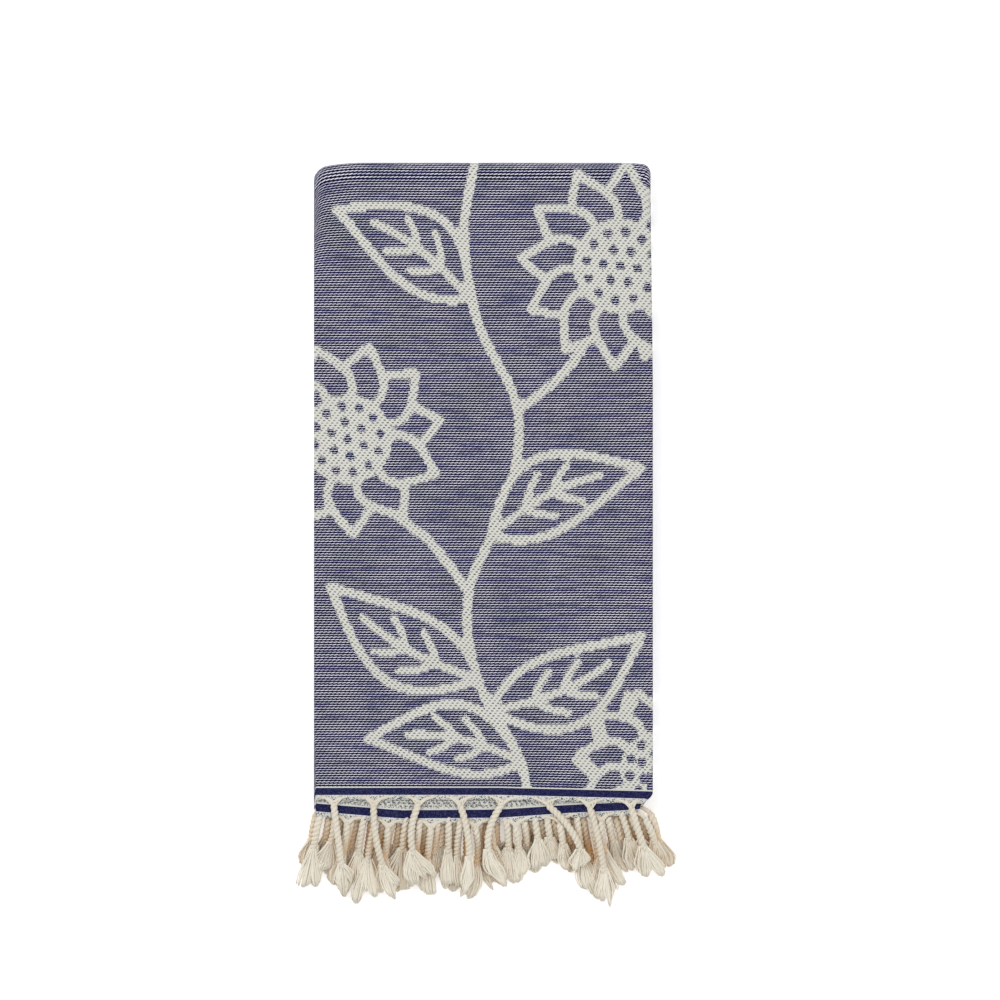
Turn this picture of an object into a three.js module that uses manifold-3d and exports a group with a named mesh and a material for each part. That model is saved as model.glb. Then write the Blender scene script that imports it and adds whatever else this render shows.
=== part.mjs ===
// A flat-woven cotton bath towel with a knotted fringe at both ends. It is folded in four across its width and
// in four along its length, and lies face up with both fringed ends together at the near side.
// Units are millimetres. +Z is up, +Y runs towards the top fold and +X to the right, seen from above.
// The origin is on the surface that the towel lies on, under the middle of its whole outline.

import * as THREE from "three";
import Module from "manifold-3d";

const { lerp, smoothstep, clamp } = THREE.MathUtils;
const wasm = await Module();
wasm.setup();

// The cloth, and how far apart its folded layers lie from middle to middle
const THICKNESS = 1.1;
const LAYER_PITCH = 1.5;

// The folded towel, from edge to edge and from the top fold to the hem that lies on top
const FOLDED_WIDTH = 235;
const FOLDED_LENGTH = 439.5;
const HALF_WIDTH = FOLDED_WIDTH / 2;

// The layers across the width, in the order of the cloth's own width. The first runs right, the next runs left,
// and so on. A level counts layer pitches up from the middle of the strip that they make together.
const LAYERS = [
  { name: "under", level: -1.5 },
  { name: "top", level: 1.5 },
  { name: "second", level: 0.5 },
  { name: "third", level: -0.5 },
];

// The strips along the length, in the order of the cloth's own length. The first runs to the top fold, the next
// comes back, and so on. A level counts strip pitches up from the middle of the folded towel.
const STRIPS = [
  { name: "upper end", level: 1.5 },
  { name: "bottom", level: -1.5 },
  { name: "inner", level: -0.5 },
  { name: "lower end", level: 0.5 },
];
const STRIP_PITCH = LAYERS.length * LAYER_PITCH;
const MIDDLE_HEIGHT = (STRIPS.length * STRIP_PITCH - LAYER_PITCH + THICKNESS) / 2;

// Where the folds turn: the middles of their arcs, and the steps that each arc is made in
const OUTER_LAYER = 1.5 * LAYER_PITCH + THICKNESS / 2;
const RIGHT_TURN = HALF_WIDTH - OUTER_LAYER;
const LEFT_TURN = -HALF_WIDTH + (LAYER_PITCH + THICKNESS) / 2;
const TOP_TURN = FOLDED_LENGTH - 1.5 * STRIP_PITCH - OUTER_LAYER;
const NEAR_FOLD_SETBACK = 8;
const NEAR_TURN = NEAR_FOLD_SETBACK + 0.5 * STRIP_PITCH + OUTER_LAYER;
const SIDE_TURN_STEPS = 4;
const END_TURN_STEPS = 4;

// Places where the cloth bends a little between its folds, from the middle and from the upper hem's line
const STOPS_ACROSS = [-113, -100, -58, 0, 58, 100, 111];
const STOPS_ALONG = [30, 120, 250, 370, 405];

// How far each layer's hem lies out past the upper hem's line, at a few places across the width
const UPPER_HEM = [
  { x: -117.5, under: 5, top: 6.8, second: 4.8, third: 8 },
  { x: -113, under: 5, top: 0, second: 10.5, third: 8 },
  { x: -58, under: 6, top: 0, second: 15, third: 9 },
  { x: 11, under: 7, top: 0, second: 14.5, third: 9 },
  { x: 60, under: 6, top: 1.2, second: 11, third: 8 },
  { x: 117.5, under: 5, top: 2.3, second: 8.5, third: 7 },
];
const LOWER_HEM = [
  { x: -117.5, under: 7, top: 4.4, second: 4.8, third: 6 },
  { x: 0, under: 8, top: 6, second: 7, third: 8 },
  { x: 117.5, under: 5, top: 4, second: 5, third: 5 },
];

// The woven heading that holds the tassels, parted from the hem
const HEADING_GAP = 0.5;
const HEADING_DEPTH = 3;

// How far the fringe reaches past the upper hem's line, across the width
const FRINGE_REACH = [
  { x: -126, reach: 58 },
  { x: -114, reach: 61 },
  { x: -106, reach: 67 },
  { x: -86, reach: 72 },
  { x: -65, reach: 72 },
  { x: -44, reach: 66 },
  { x: -23, reach: 67 },
  { x: -2, reach: 48 },
  { x: 18, reach: 61 },
  { x: 39, reach: 48 },
  { x: 60, reach: 48 },
  { x: 81, reach: 76 },
  { x: 101, reach: 57 },
  { x: 118, reach: 55 },
  { x: 129, reach: 57 },
];

// The eight tassels of the top layer: where each starts, passes and ends from side to side, and its reach
const TOP_TASSELS = [
  { root: -104, bend: -100, tip: -96, reach: 66 },
  { root: -76, bend: -73, tip: -61, reach: 69 },
  { root: -44, bend: -50, tip: -38, reach: 61 },
  { root: -17, bend: -8, tip: -8, reach: 57 },
  { root: 14, bend: 3, tip: 9, reach: 57 },
  { root: 43, bend: 64, tip: 68, reach: 53 },
  { root: 73, bend: 82, tip: 85, reach: 77 },
  { root: 102, bend: 111, tip: 124, reach: 57 },
];
const TASSELS_A_LAYER = TOP_TASSELS.length;
const TASSEL_PITCH = FOLDED_WIDTH / TASSELS_A_LAYER;

// A tassel: two flat legs that leave the heading and meet in a cord, which ends in a loose brush
const LEG_SPREAD = 10.5;
const LEG_WIDTH = 2.2;
const LEG_HEIGHT = 0.8 * THICKNESS;
const ROOT_DEPTH = 5;
const CORD_WIDTH = 4.4;
const CORD_HEIGHT = 4.4;
const CORD_FILLS_OUT_IN = 10;
const WAIST_WIDTH = 3.4;
const BRUSH_LENGTH = 24;
const BRUSH_HEIGHT = 3.2;

// The three heaps that the tassels lie in, from the floor up. A cord keeps its layer's height until it is
// clear of the hems, then comes down to its heap's floor at settled, both counted from the upper hem's line.
const HEAP_GAP = 0.5;
const HEAPS = {
  lower: { floor: 0, clear: 16, settled: 42, levelTip: 8, brush: 5.6 },
  upper: { floor: CORD_HEIGHT + HEAP_GAP, clear: 20, settled: 46, levelTip: 6, brush: 8 },
  top: { floor: 2 * (CORD_HEIGHT + HEAP_GAP) + 0.4, clear: 26, settled: 60, levelTip: 2, brush: 12 },
};
const CORD_STEPS = 3;

// The tassels that aren't in the top layer: where the first of each layer stands, in tassel pitches from the
// left edge, and how much shorter than the fringe's reach they are
const UPPER_ROWS = [
  { layer: "second", first: 5 / 6, shorter: 0 },
  { layer: "third", first: 3 / 6, shorter: 3 },
  { layer: "under", first: 1 / 6, shorter: 1 },
];
const LOWER_ROWS = [
  { layer: "under", first: 7 / 8, shorter: 2 },
  { layer: "third", first: 5 / 8, shorter: 6 },
  { layer: "second", first: 3 / 8, shorter: 4 },
  { layer: "top", first: 1 / 8, shorter: 8 },
];
const SPLAY = 1.1;
const SWAY = 3;
const SWAY_LENGTH = 34;

// The settled shape: round upper corners, sides that lean, and a thickness that sinks between the folds
const CORNERS = {
  left: { round: 9, slant: 4, slantLength: 34 },
  right: { round: 6, slant: 1.5, slantLength: 20 },
};
const CORNER_REACH = 90;
const RIGHT_EDGE_LEAN = 0.014;
const LEAN_LENGTH = 170;
const MIDDLE_SINK = 0.05;
const HEM_SINK = 0.04;
const HEM_SINK_LENGTH = 80;
const RIPPLE = 0.012;
const RIPPLE_LENGTH = 150;

/** A column of a short table at x, on straight lines between its rows. */
function tableValue(rows, x, column) {
  const place = clamp(x, rows[0].x, rows.at(-1).x);
  const next = Math.max(1, rows.findIndex((row) => row.x >= place));
  const [before, after] = [rows[next - 1], rows[next]];
  return lerp(before[column], after[column], (place - before.x) / (after.x - before.x));
}

/** How far the top fold draws back at x, where the towel's upper corners are rounded off. */
function cornerDrawback(x) {
  const corner = x < 0 ? CORNERS.left : CORNERS.right;
  const inset = HALF_WIDTH - Math.min(Math.abs(x), HALF_WIDTH);
  const missing = Math.max(0, corner.round - inset);
  const rounding = corner.round - Math.sqrt(corner.round ** 2 - missing ** 2);
  return rounding + corner.slant * Math.max(0, 1 - inset / corner.slantLength) ** 2;
}

/** A point of the neatly folded towel, moved to where the settled towel has it. The underside stays level. */
function settled(x, y, z) {
  const nearTop = smoothstep(y, FOLDED_LENGTH - CORNER_REACH, FOLDED_LENGTH);
  const rightShare = Math.max(0, x) * smoothstep(y, FOLDED_LENGTH - LEAN_LENGTH, FOLDED_LENGTH);
  const acrossMiddle = 1 - (clamp(x, -HALF_WIDTH, HALF_WIDTH) / HALF_WIDTH) ** 2;
  const sink = MIDDLE_SINK * acrossMiddle + HEM_SINK * (1 - smoothstep(y, 0, HEM_SINK_LENGTH));
  const ripple = RIPPLE * Math.sin(y / RIPPLE_LENGTH * Math.PI + x / HALF_WIDTH);
  return new THREE.Vector3(
    x - RIGHT_EDGE_LEAN * rightShare,
    y - cornerDrawback(x) * nearTop,
    z * (1 - sink + ripple),
  );
}

/** A cloth's middle line laid back and forth: its places, the way across the cloth, and the layer of each. */
function backAndForth({ heights, start, end, lowTurn, highTurn, stops, turnSteps }) {
  const places = [{ along: start, height: heights[0], acrossAlong: 0, acrossUp: 1, layer: 0 }];
  heights.forEach((height, layer) => {
    const direction = layer % 2 === 0 ? 1 : -1;
    const run = direction > 0 ? stops : stops.toReversed();
    run.forEach((along) => places.push({ along, height, acrossAlong: 0, acrossUp: direction, layer }));
    if (layer + 1 < heights.length) {
      const middle = (height + heights[layer + 1]) / 2;
      const rise = height - middle;
      for (let step = 0; step <= turnSteps; step++) {
        const angle = Math.PI * step / turnSteps;
        const turn = direction > 0 ? highTurn : lowTurn;
        places.push({
          along: turn + direction * Math.abs(rise) * Math.sin(angle),
          height: middle + rise * Math.cos(angle),
          acrossAlong: Math.sign(rise) * Math.sin(angle),
          acrossUp: direction * Math.cos(angle),
          layer: layer + step / turnSteps,
        });
      }
    }
  });
  const lastUp = heights.length % 2 === 0 ? -1 : 1;
  places.push({ along: end, height: heights.at(-1), acrossAlong: 0, acrossUp: lastUp, layer: heights.length - 1 });
  return places;
}

/** The loop round the folded width: out along one face of the cloth and home along the other. */
function sectionLoop() {
  const middleLine = backAndForth({
    heights: LAYERS.map((layer) => layer.level * LAYER_PITCH),
    start: -HALF_WIDTH + 2,
    end: -HALF_WIDTH + 1,
    lowTurn: LEFT_TURN,
    highTurn: RIGHT_TURN,
    stops: STOPS_ACROSS,
    turnSteps: SIDE_TURN_STEPS,
  });
  const face = (side) => middleLine.map((place) => ({
    x: place.along + side * place.acrossAlong * THICKNESS / 2,
    rise: place.height + side * place.acrossUp * THICKNESS / 2,
    layer: place.layer,
  }));
  return [...face(1), ...face(-1).toReversed()];
}

/** How far out a hem lies at a point of the section. In a side fold it passes from one layer to the next. */
function hemReach(hem, { x, layer }) {
  const before = Math.floor(layer);
  const after = Math.ceil(layer);
  return lerp(
    tableValue(hem, x, LAYERS[before].name),
    tableValue(hem, x, LAYERS[after].name),
    layer - before,
  );
}

/** The solid that a loop sweeps out from ring to ring. Each ring goes out along one face and home along the other. */
function sweptGeometry(rings) {
  const count = rings[0].length;
  const last = (rings.length - 1) * count;
  const triangles = [];
  for (let ring = 0; ring < last; ring += count) {
    for (let here = 0; here < count; here++) {
      const next = (here + 1) % count;
      triangles.push(ring + here, ring + next, ring + count + next);
      triangles.push(ring + here, ring + count + next, ring + count + here);
    }
  }
  for (let out = 0; out < count / 2 - 1; out++) {
    const home = count - 1 - out;
    triangles.push(out, home - 1, out + 1, out, home, home - 1);
    triangles.push(last + out, last + out + 1, last + home - 1, last + out, last + home - 1, last + home);
  }
  const geometry = new THREE.BufferGeometry();
  const coordinates = rings.flat().flatMap((point) => point.toArray());
  geometry.setAttribute("position", new THREE.Float32BufferAttribute(coordinates, 3));
  geometry.setIndex(triangles);
  return geometry;
}

/** A swept geometry as a solid that can be joined to others. */
function solidFrom(geometry) {
  return new wasm.Manifold(new wasm.Mesh({
    numProp: 3,
    vertProperties: new Float32Array(geometry.attributes.position.array),
    triVerts: new Uint32Array(geometry.index.array),
  }));
}

/** A joined solid as a geometry. */
function geometryFrom(solid) {
  const { vertProperties, triVerts } = solid.getMesh();
  const geometry = new THREE.BufferGeometry();
  geometry.setAttribute("position", new THREE.BufferAttribute(vertProperties, 3));
  geometry.setIndex(new THREE.BufferAttribute(triVerts, 1));
  return geometry;
}

/** The height of a strip's middle line over the floor. */
function stripHeight(strip) {
  return MIDDLE_HEIGHT + strip.level * STRIP_PITCH;
}

/** The one cloth: the section of its four layers, swept along the four strips. */
function clothGeometry() {
  const loop = sectionLoop();
  const stations = backAndForth({
    heights: STRIPS.map(stripHeight),
    start: 0,
    end: 0,
    lowTurn: NEAR_TURN,
    highTurn: TOP_TURN,
    stops: STOPS_ALONG,
    turnSteps: END_TURN_STEPS,
  });
  const hemOf = new Map([[0, UPPER_HEM], [stations.length - 1, LOWER_HEM]]);
  const rings = stations.map((station, index) => loop.map((point) => {
    const hem = hemOf.get(index);
    const out = hem ? hemReach(hem, point) : 0;
    const y = station.along - out + point.rise * station.acrossAlong;
    return settled(point.x, y, station.height + point.rise * station.acrossUp);
  }));
  return sweptGeometry(rings);
}

/** The heading of one end: the same section, a short way past the hem. */
function headingGeometry({ hem, strip, faceUp }) {
  const rings = [HEADING_GAP + HEADING_DEPTH, HEADING_GAP].map((depth) => sectionLoop().map((point) => (
    settled(point.x, -hemReach(hem, point) - depth, stripHeight(strip) + faceUp * point.rise)
  )));
  return sweptGeometry(faceUp > 0 ? rings : rings.toReversed());
}

/** One ring of a strand: four corners round its middle, square to its way in plan. */
function strandRing({ x, out, floor, width, height, heading }) {
  const across = new THREE.Vector2(Math.cos(heading), Math.sin(heading)).multiplyScalar(width / 2);
  return [
    settled(x + across.x, -out + across.y, floor + height),
    settled(x - across.x, -out - across.y, floor + height),
    settled(x - across.x, -out - across.y, floor),
    settled(x + across.x, -out + across.y, floor),
  ];
}

/** A leg of a tassel, from the middle of the heading to the root. */
function legGeometry({ hem, layer, root, rootOut, floor, side }) {
  const foot = clamp(root + side * LEG_SPREAD, LEFT_TURN + LEG_WIDTH, RIGHT_TURN - LEG_WIDTH);
  const footOut = hemReach(hem, { x: foot, layer }) + HEADING_GAP + HEADING_DEPTH / 2;
  const heading = Math.atan2(root - foot, rootOut - footOut);
  const shared = { floor, height: LEG_HEIGHT, width: LEG_WIDTH, heading };
  return sweptGeometry([
    strandRing({ x: foot, out: footOut, ...shared }),
    strandRing({ x: root, out: rootOut, ...shared }),
  ]);
}

/** The cord and brush of a tassel, in rings from its root to its tip. */
function cordGeometry({ root, bend, tip, reach, rootOut, layerFloor, heap, fillsFrom }) {
  const control = 2 * bend - (root + tip) / 2;
  const course = new THREE.QuadraticBezierCurve(
    new THREE.Vector2(root, rootOut),
    new THREE.Vector2(control, (rootOut + reach) / 2),
    new THREE.Vector2(tip, reach),
  );
  const settles = Math.min(heap.settled, reach - heap.levelTip);
  const brushFrom = Math.min(reach - BRUSH_LENGTH, settles);
  const falls = [...Array(CORD_STEPS).keys()].map((step) => lerp(heap.clear, settles, step / CORD_STEPS));
  const fillsTo = fillsFrom + CORD_FILLS_OUT_IN;
  const outs = [rootOut, ...(fillsTo < heap.clear ? [fillsTo] : []), ...falls, settles, reach];
  return sweptGeometry(outs.map((out) => {
    const share = clamp((out - rootOut) / (reach - rootOut), 0, 1);
    const place = course.getPoint(share);
    const way = course.getTangent(share);
    const filled = smoothstep(out, fillsFrom, fillsFrom + CORD_FILLS_OUT_IN);
    const brushShare = (out - brushFrom) / (reach - brushFrom);
    const cordWidth = lerp(WAIST_WIDTH, CORD_WIDTH, filled);
    const width = brushShare < 0 ? cordWidth : lerp(WAIST_WIDTH, heap.brush, brushShare);
    const fullHeight = lerp(CORD_HEIGHT, BRUSH_HEIGHT, Math.max(0, brushShare));
    return strandRing({
      x: place.x,
      out: place.y,
      floor: lerp(layerFloor, heap.floor, smoothstep(out, heap.clear, settles)),
      width,
      height: lerp(LEG_HEIGHT, fullHeight, filled),
      heading: Math.atan2(way.x, way.y),
    });
  }));
}

/** A whole tassel as one solid: its two legs, cord and brush. */
function tasselSolid({ hem, strip, faceUp, layer, heap, root, bend, tip, reach, fillsFrom }) {
  const index = LAYERS.findIndex(({ name }) => name === layer);
  const floor = stripHeight(strip) + faceUp * LAYERS[index].level * LAYER_PITCH - LEG_HEIGHT / 2;
  const rootOut = hemReach(hem, { x: root, layer: index }) + ROOT_DEPTH;
  const legs = [-1, 1].map((side) => solidFrom(legGeometry({ hem, layer: index, root, rootOut, floor, side })));
  const shared = { root, bend, tip, reach, heap, layerFloor: floor };
  const cord = cordGeometry({ ...shared, rootOut: rootOut - LEG_WIDTH / 4, fillsFrom: fillsFrom ?? rootOut });
  return legs.reduce((whole, leg) => whole.add(leg), solidFrom(cord));
}

/** The rows of tassels of one end, below the top layer. */
function rowTassels(rows, end, heap) {
  return rows.flatMap(({ layer, first, shorter }) => [...Array(TASSELS_A_LAYER).keys()].map((column) => {
    const root = -HALF_WIDTH + TASSEL_PITCH * (column + first);
    const tip = SPLAY * root + SWAY * Math.sin(root / SWAY_LENGTH);
    const reach = tableValue(FRINGE_REACH, tip, "reach") - shorter;
    return tasselSolid({ ...end, layer, heap, root, bend: (root + tip) / 2, tip, reach, fillsFrom: heap.clear });
  }));
}

/** A heading joined with its tassels. */
function fringeGeometry(end, tassels) {
  return geometryFrom(tassels.reduce((whole, tassel) => whole.add(tassel), solidFrom(headingGeometry(end))));
}

const upperEnd = { hem: UPPER_HEM, strip: STRIPS[0], faceUp: 1 };
const lowerEnd = { hem: LOWER_HEM, strip: STRIPS[3], faceUp: -1 };
const topTassels = TOP_TASSELS.map((row) => tasselSolid({ ...upperEnd, layer: "top", heap: HEAPS.top, ...row }));
const upperTassels = [...topTassels, ...rowTassels(UPPER_ROWS, upperEnd, HEAPS.upper)];
const lowerTassels = rowTassels(LOWER_ROWS, lowerEnd, HEAPS.lower);

const weave = new THREE.MeshStandardMaterial({ color: 0x71707f, roughness: 0.95, metalness: 0 });
const cotton = new THREE.MeshStandardMaterial({ color: 0xcfc4b0, roughness: 0.95, metalness: 0 });

/** A named mesh of one sub-part. */
function namedMesh(name, geometry, material) {
  const mesh = new THREE.Mesh(geometry, material);
  geometry.computeVertexNormals();
  mesh.name = name;
  return mesh;
}

const towel = new THREE.Group();
towel.add(namedMesh("towel_cloth", clothGeometry(), weave));
towel.add(namedMesh("fringe_upper", fringeGeometry(upperEnd, upperTassels), cotton));
towel.add(namedMesh("fringe_lower", fringeGeometry(lowerEnd, lowerTassels), cotton));

const outline = new THREE.Box3().setFromObject(towel);
const middle = outline.getCenter(new THREE.Vector3());
towel.position.set(-middle.x, -middle.y, -outline.min.z);

export default towel;
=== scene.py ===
"""A folded Turkish towel: a two-colour flat-woven cloth with dark end bands and a twisted cotton fringe.

The cloth is one sheet, folded in four across its width and in four along its length. Lengths are in
metres. Places on the towel count from the middle of its width and from the hem that lies on top, with
+Y to the top fold.
"""

import logging
import math
from collections.abc import Callable, Sequence
from dataclasses import dataclass, field
from enum import Enum

import bmesh
import bpy
import numpy as np
from mathutils import Matrix, Vector

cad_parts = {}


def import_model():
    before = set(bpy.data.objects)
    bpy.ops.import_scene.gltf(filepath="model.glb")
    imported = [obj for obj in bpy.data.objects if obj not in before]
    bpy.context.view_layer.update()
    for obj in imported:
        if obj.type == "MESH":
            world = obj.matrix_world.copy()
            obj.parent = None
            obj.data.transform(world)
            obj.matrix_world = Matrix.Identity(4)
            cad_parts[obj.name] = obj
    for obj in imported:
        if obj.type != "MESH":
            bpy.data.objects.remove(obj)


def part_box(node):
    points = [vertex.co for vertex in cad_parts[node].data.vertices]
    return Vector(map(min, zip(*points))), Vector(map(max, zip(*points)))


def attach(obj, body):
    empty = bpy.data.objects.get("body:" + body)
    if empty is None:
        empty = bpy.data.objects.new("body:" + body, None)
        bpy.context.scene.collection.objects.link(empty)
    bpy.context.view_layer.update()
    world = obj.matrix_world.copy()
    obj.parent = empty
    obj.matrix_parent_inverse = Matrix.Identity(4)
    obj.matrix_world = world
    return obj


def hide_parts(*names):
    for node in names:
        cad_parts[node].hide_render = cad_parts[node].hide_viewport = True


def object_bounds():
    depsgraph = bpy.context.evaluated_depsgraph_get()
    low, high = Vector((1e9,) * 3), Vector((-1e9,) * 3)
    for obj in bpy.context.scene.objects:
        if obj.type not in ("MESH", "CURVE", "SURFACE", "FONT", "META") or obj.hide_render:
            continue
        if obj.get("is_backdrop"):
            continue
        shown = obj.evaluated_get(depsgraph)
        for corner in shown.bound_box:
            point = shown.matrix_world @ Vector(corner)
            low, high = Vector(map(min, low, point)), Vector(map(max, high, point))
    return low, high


LOG = logging.getLogger("towel")
MM = 0.001
BODY = "root"
CLOTH_NODE = "towel_cloth"


def smooth_share(value: np.ndarray | float, low: float, high: float) -> np.ndarray:
    """Ease from 0 at low to 1 at high.

    Args:
        value: Where to read the ease.
        low: The place that gives 0.
        high: The place that gives 1.

    Returns:
        The eased share, between 0 and 1.
    """
    share = np.clip((np.asarray(value, dtype=float) - low) / (high - low), 0.0, 1.0)
    return share * share * (3.0 - 2.0 * share)


class Layer(Enum):
    """The layers across the folded width, in the order of the cloth's own width, by level in a strip."""

    UNDER = -1.5
    TOP = 1.5
    SECOND = 0.5
    THIRD = -0.5


LAYERS = tuple(Layer)


class Strip(Enum):
    """The strips along the folded length, in the order of the cloth's length, by level in the towel."""

    UPPER_END = 1.5
    BOTTOM = -1.5
    INNER = -0.5
    LOWER_END = 0.5


@dataclass(frozen=True)
class TowelSize:
    """The sizes of the folded towel."""

    thickness: float = 1.1 * MM
    layer_pitch: float = 1.5 * MM
    width: float = 235 * MM
    length: float = 439.5 * MM
    heading: float = 3.5 * MM
    near_fold_setback: float = 8 * MM

    @property
    def half_width(self) -> float:
        """Half the folded width."""
        return self.width / 2

    @property
    def strip_pitch(self) -> float:
        """How far apart the strips lie."""
        return len(LAYERS) * self.layer_pitch

    @property
    def middle_height(self) -> float:
        """The height of the folded towel's middle over the floor."""
        return (len(Strip) * self.strip_pitch - self.layer_pitch + self.thickness) / 2

    @property
    def outer_layer(self) -> float:
        """From a strip's middle to the outside of its outermost layer."""
        return Layer.TOP.value * self.layer_pitch + self.thickness / 2

    def strip_height(self, strip: Strip) -> float:
        """The height of a strip's middle line over the floor."""
        return self.middle_height + strip.value * self.strip_pitch


@dataclass(frozen=True)
class Places:
    """Places on a line laid back and forth, with the way across the cloth at each."""

    along: np.ndarray
    height: np.ndarray
    across_along: np.ndarray
    across_up: np.ndarray
    layer: np.ndarray

    def in_first_run(self) -> np.ndarray:
        """Which places lie nearer to the first run than to the next."""
        return self.layer < 0.5


@dataclass(frozen=True)
class BackAndForth:
    """A line laid back and forth between two turns, measured by its own length.

    The first run goes up to the high turn, the next comes back to the low turn, and so on. The crowding
    says how much closer the steps stand towards the turns, as a share of their spacing.
    """

    heights: tuple[float, ...]
    start: float
    end: float
    low_turn: float
    high_turn: float
    crowding: float = 0.4

    def rise(self, run: int) -> float:
        """From the middle of the turn after a run up to that run: negative where the next lies higher."""
        return (self.heights[run] - self.heights[run + 1]) / 2

    def run_ends(self, run: int) -> tuple[float, float]:
        """Where a run starts and ends.

        Args:
            run: The number of the run, from 0.

        Returns:
            The two places along the folded towel.
        """
        last = len(self.heights) - 1
        turns = (self.low_turn, self.high_turn) if run % 2 == 0 else (self.high_turn, self.low_turn)
        return (self.start if run == 0 else turns[0], self.end if run == last else turns[1])

    def marks(self) -> np.ndarray:
        """The distances at which runs and turns begin and end, in turn.

        Returns:
            The distances, from 0 to the line's whole length.
        """
        lengths = []
        for run in range(len(self.heights)):
            first, last = self.run_ends(run)
            lengths.append(abs(last - first))
            if run + 1 < len(self.heights):
                lengths.append(math.pi * abs(self.rise(run)))
        return np.concatenate([[0.0], np.cumsum(lengths)])

    def steps(self, counts: Sequence[int]) -> np.ndarray:
        """The distances of the rows or columns that the cloth is made in, closer together towards the turns.

        Args:
            counts: The steps in each run and turn, in turn.

        Returns:
            The distances, from the start to the end.
        """
        marks = self.marks()
        parts = []
        for low, high, count in zip(marks[:-1], marks[1:], counts, strict=True):
            share = np.linspace(0, 1, count, endpoint=False)
            share -= self.crowding * np.sin(2 * math.pi * share) / (2 * math.pi)
            parts.append(low + (high - low) * share)
        return np.concatenate([*parts, marks[-1:]])

    def at(self, distance: np.ndarray) -> Places:
        """The places at some distances along the line.

        Args:
            distance: Distances along the line.

        Returns:
            The places, in the same order.
        """
        marks = self.marks()
        span = np.clip(np.searchsorted(marks, distance, side="right") - 1, 0, len(marks) - 2)
        along, height, across_along, across_up, layer = np.zeros((5, len(distance)))
        for index in range(len(marks) - 1):
            here = span == index
            local = distance[here] - marks[index]
            run = index // 2
            direction = 1.0 if run % 2 == 0 else -1.0
            if index % 2 == 0:
                along[here] = self.run_ends(run)[0] + direction * local
                height[here] = self.heights[run]
                across_up[here] = direction
                layer[here] = run
            else:
                rise = self.rise(run)
                angle = local / abs(rise)
                turn = self.high_turn if direction > 0 else self.low_turn
                along[here] = turn + direction * abs(rise) * np.sin(angle)
                height[here] = self.heights[run] - rise + rise * np.cos(angle)
                across_along[here] = math.copysign(1.0, rise) * np.sin(angle)
                across_up[here] = direction * np.cos(angle)
                layer[here] = run + angle / math.pi
        return Places(along, height, across_along, across_up, layer)


@dataclass(frozen=True)
class HemLine:
    """How far each layer's hem lies out past the upper hem's line, at a few places across the width."""

    across: tuple[float, ...]
    reach: dict[Layer, tuple[float, ...]]

    def at(self, x: np.ndarray | float, layer: np.ndarray | float) -> np.ndarray:
        """The reach at some places. In a side fold it passes from one layer to the next.

        Args:
            x: Places across the width.
            layer: The number of the layer there, with a fraction inside a fold.

        Returns:
            The reach of the hem.
        """
        x, layer = np.broadcast_arrays(np.asarray(x, dtype=float), np.asarray(layer, dtype=float))
        rows = np.array([np.interp(x, np.array(self.across) * MM, np.array(self.reach[name]) * MM)
                         for name in LAYERS])
        before = np.clip(np.floor(layer).astype(int), 0, len(LAYERS) - 1)
        after = np.clip(before + 1, 0, len(LAYERS) - 1)
        index = np.arange(rows[0].size).reshape(x.shape)
        flat = rows.reshape(len(LAYERS), -1)
        share = layer - before
        return flat[before, index] * (1 - share) + flat[after, index] * share


UPPER_HEM = HemLine(
    across=(-117.5, -116.4, -58, 11, 60, 117.5),
    reach={
        Layer.UNDER: (5, 5, 6, 7, 5, 1.2),
        Layer.TOP: (4.0, -1.4, -1.5, -1.5, -0.3, 1.2),
        Layer.SECOND: (6.0, 10.0, 15, 14.5, 11, 8.5),
        Layer.THIRD: (8, 8, 9, 9, 8, 7),
    },
)
LOWER_HEM = HemLine(
    across=(-117.5, 0, 117.5),
    reach={
        Layer.UNDER: (7, 8, 5),
        Layer.TOP: (4.4, 6, 4),
        Layer.SECOND: (4.8, 7, 5),
        Layer.THIRD: (6, 8, 5),
    },
)


@dataclass(frozen=True)
class Corner:
    """The round and slant of one upper corner, seen from above."""

    round: float
    slant: float
    slant_length: float

    def drawback(self, inset: np.ndarray) -> np.ndarray:
        """How far the top fold draws back, by the distance in from the side.

        Args:
            inset: Distances in from the side.

        Returns:
            How far back the fold lies at each.
        """
        missing = np.maximum(0.0, self.round - inset)
        rounding = self.round - np.sqrt(self.round**2 - missing**2)
        return rounding + self.slant * np.maximum(0.0, 1 - inset / self.slant_length) ** 2


@dataclass(frozen=True)
class Settling:
    """How the folded towel has settled: round corners, sides that lean, and a thickness that sinks."""

    size: TowelSize
    left: Corner = Corner(9 * MM, 4 * MM, 34 * MM)
    right: Corner = Corner(6 * MM, 1.5 * MM, 20 * MM)
    corner_reach: float = 90 * MM
    right_edge_lean: float = 0.014
    lean_length: float = 170 * MM
    middle_sink: float = 0.05
    hem_sink: float = 0.04
    hem_sink_length: float = 80 * MM
    ripple: float = 0.012
    ripple_length: float = 150 * MM

    def settle(self, points: np.ndarray) -> np.ndarray:
        """Move points of the neatly folded towel to where the settled towel has them.

        Args:
            points: Rows of x, y and z.

        Returns:
            The moved rows.
        """
        x, y, z = points.T
        half = self.size.half_width
        inside = np.minimum(np.abs(x), half)
        near_top = smooth_share(y, self.size.length - self.corner_reach, self.size.length)
        leaning = smooth_share(y, self.size.length - self.lean_length, self.size.length)
        drawback = np.where(x < 0, self.left.drawback(half - inside), self.right.drawback(half - inside))
        near_hem = 1 - smooth_share(y, 0.0, self.hem_sink_length)
        sink = self.middle_sink * (1 - (inside / half) ** 2) + self.hem_sink * near_hem
        ripple = self.ripple * np.sin(y / self.ripple_length * math.pi + x / half)
        return np.column_stack([
            x - self.right_edge_lean * np.maximum(0.0, x) * leaning,
            y - drawback * near_top,
            z * (1 - sink + ripple),
        ])


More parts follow.
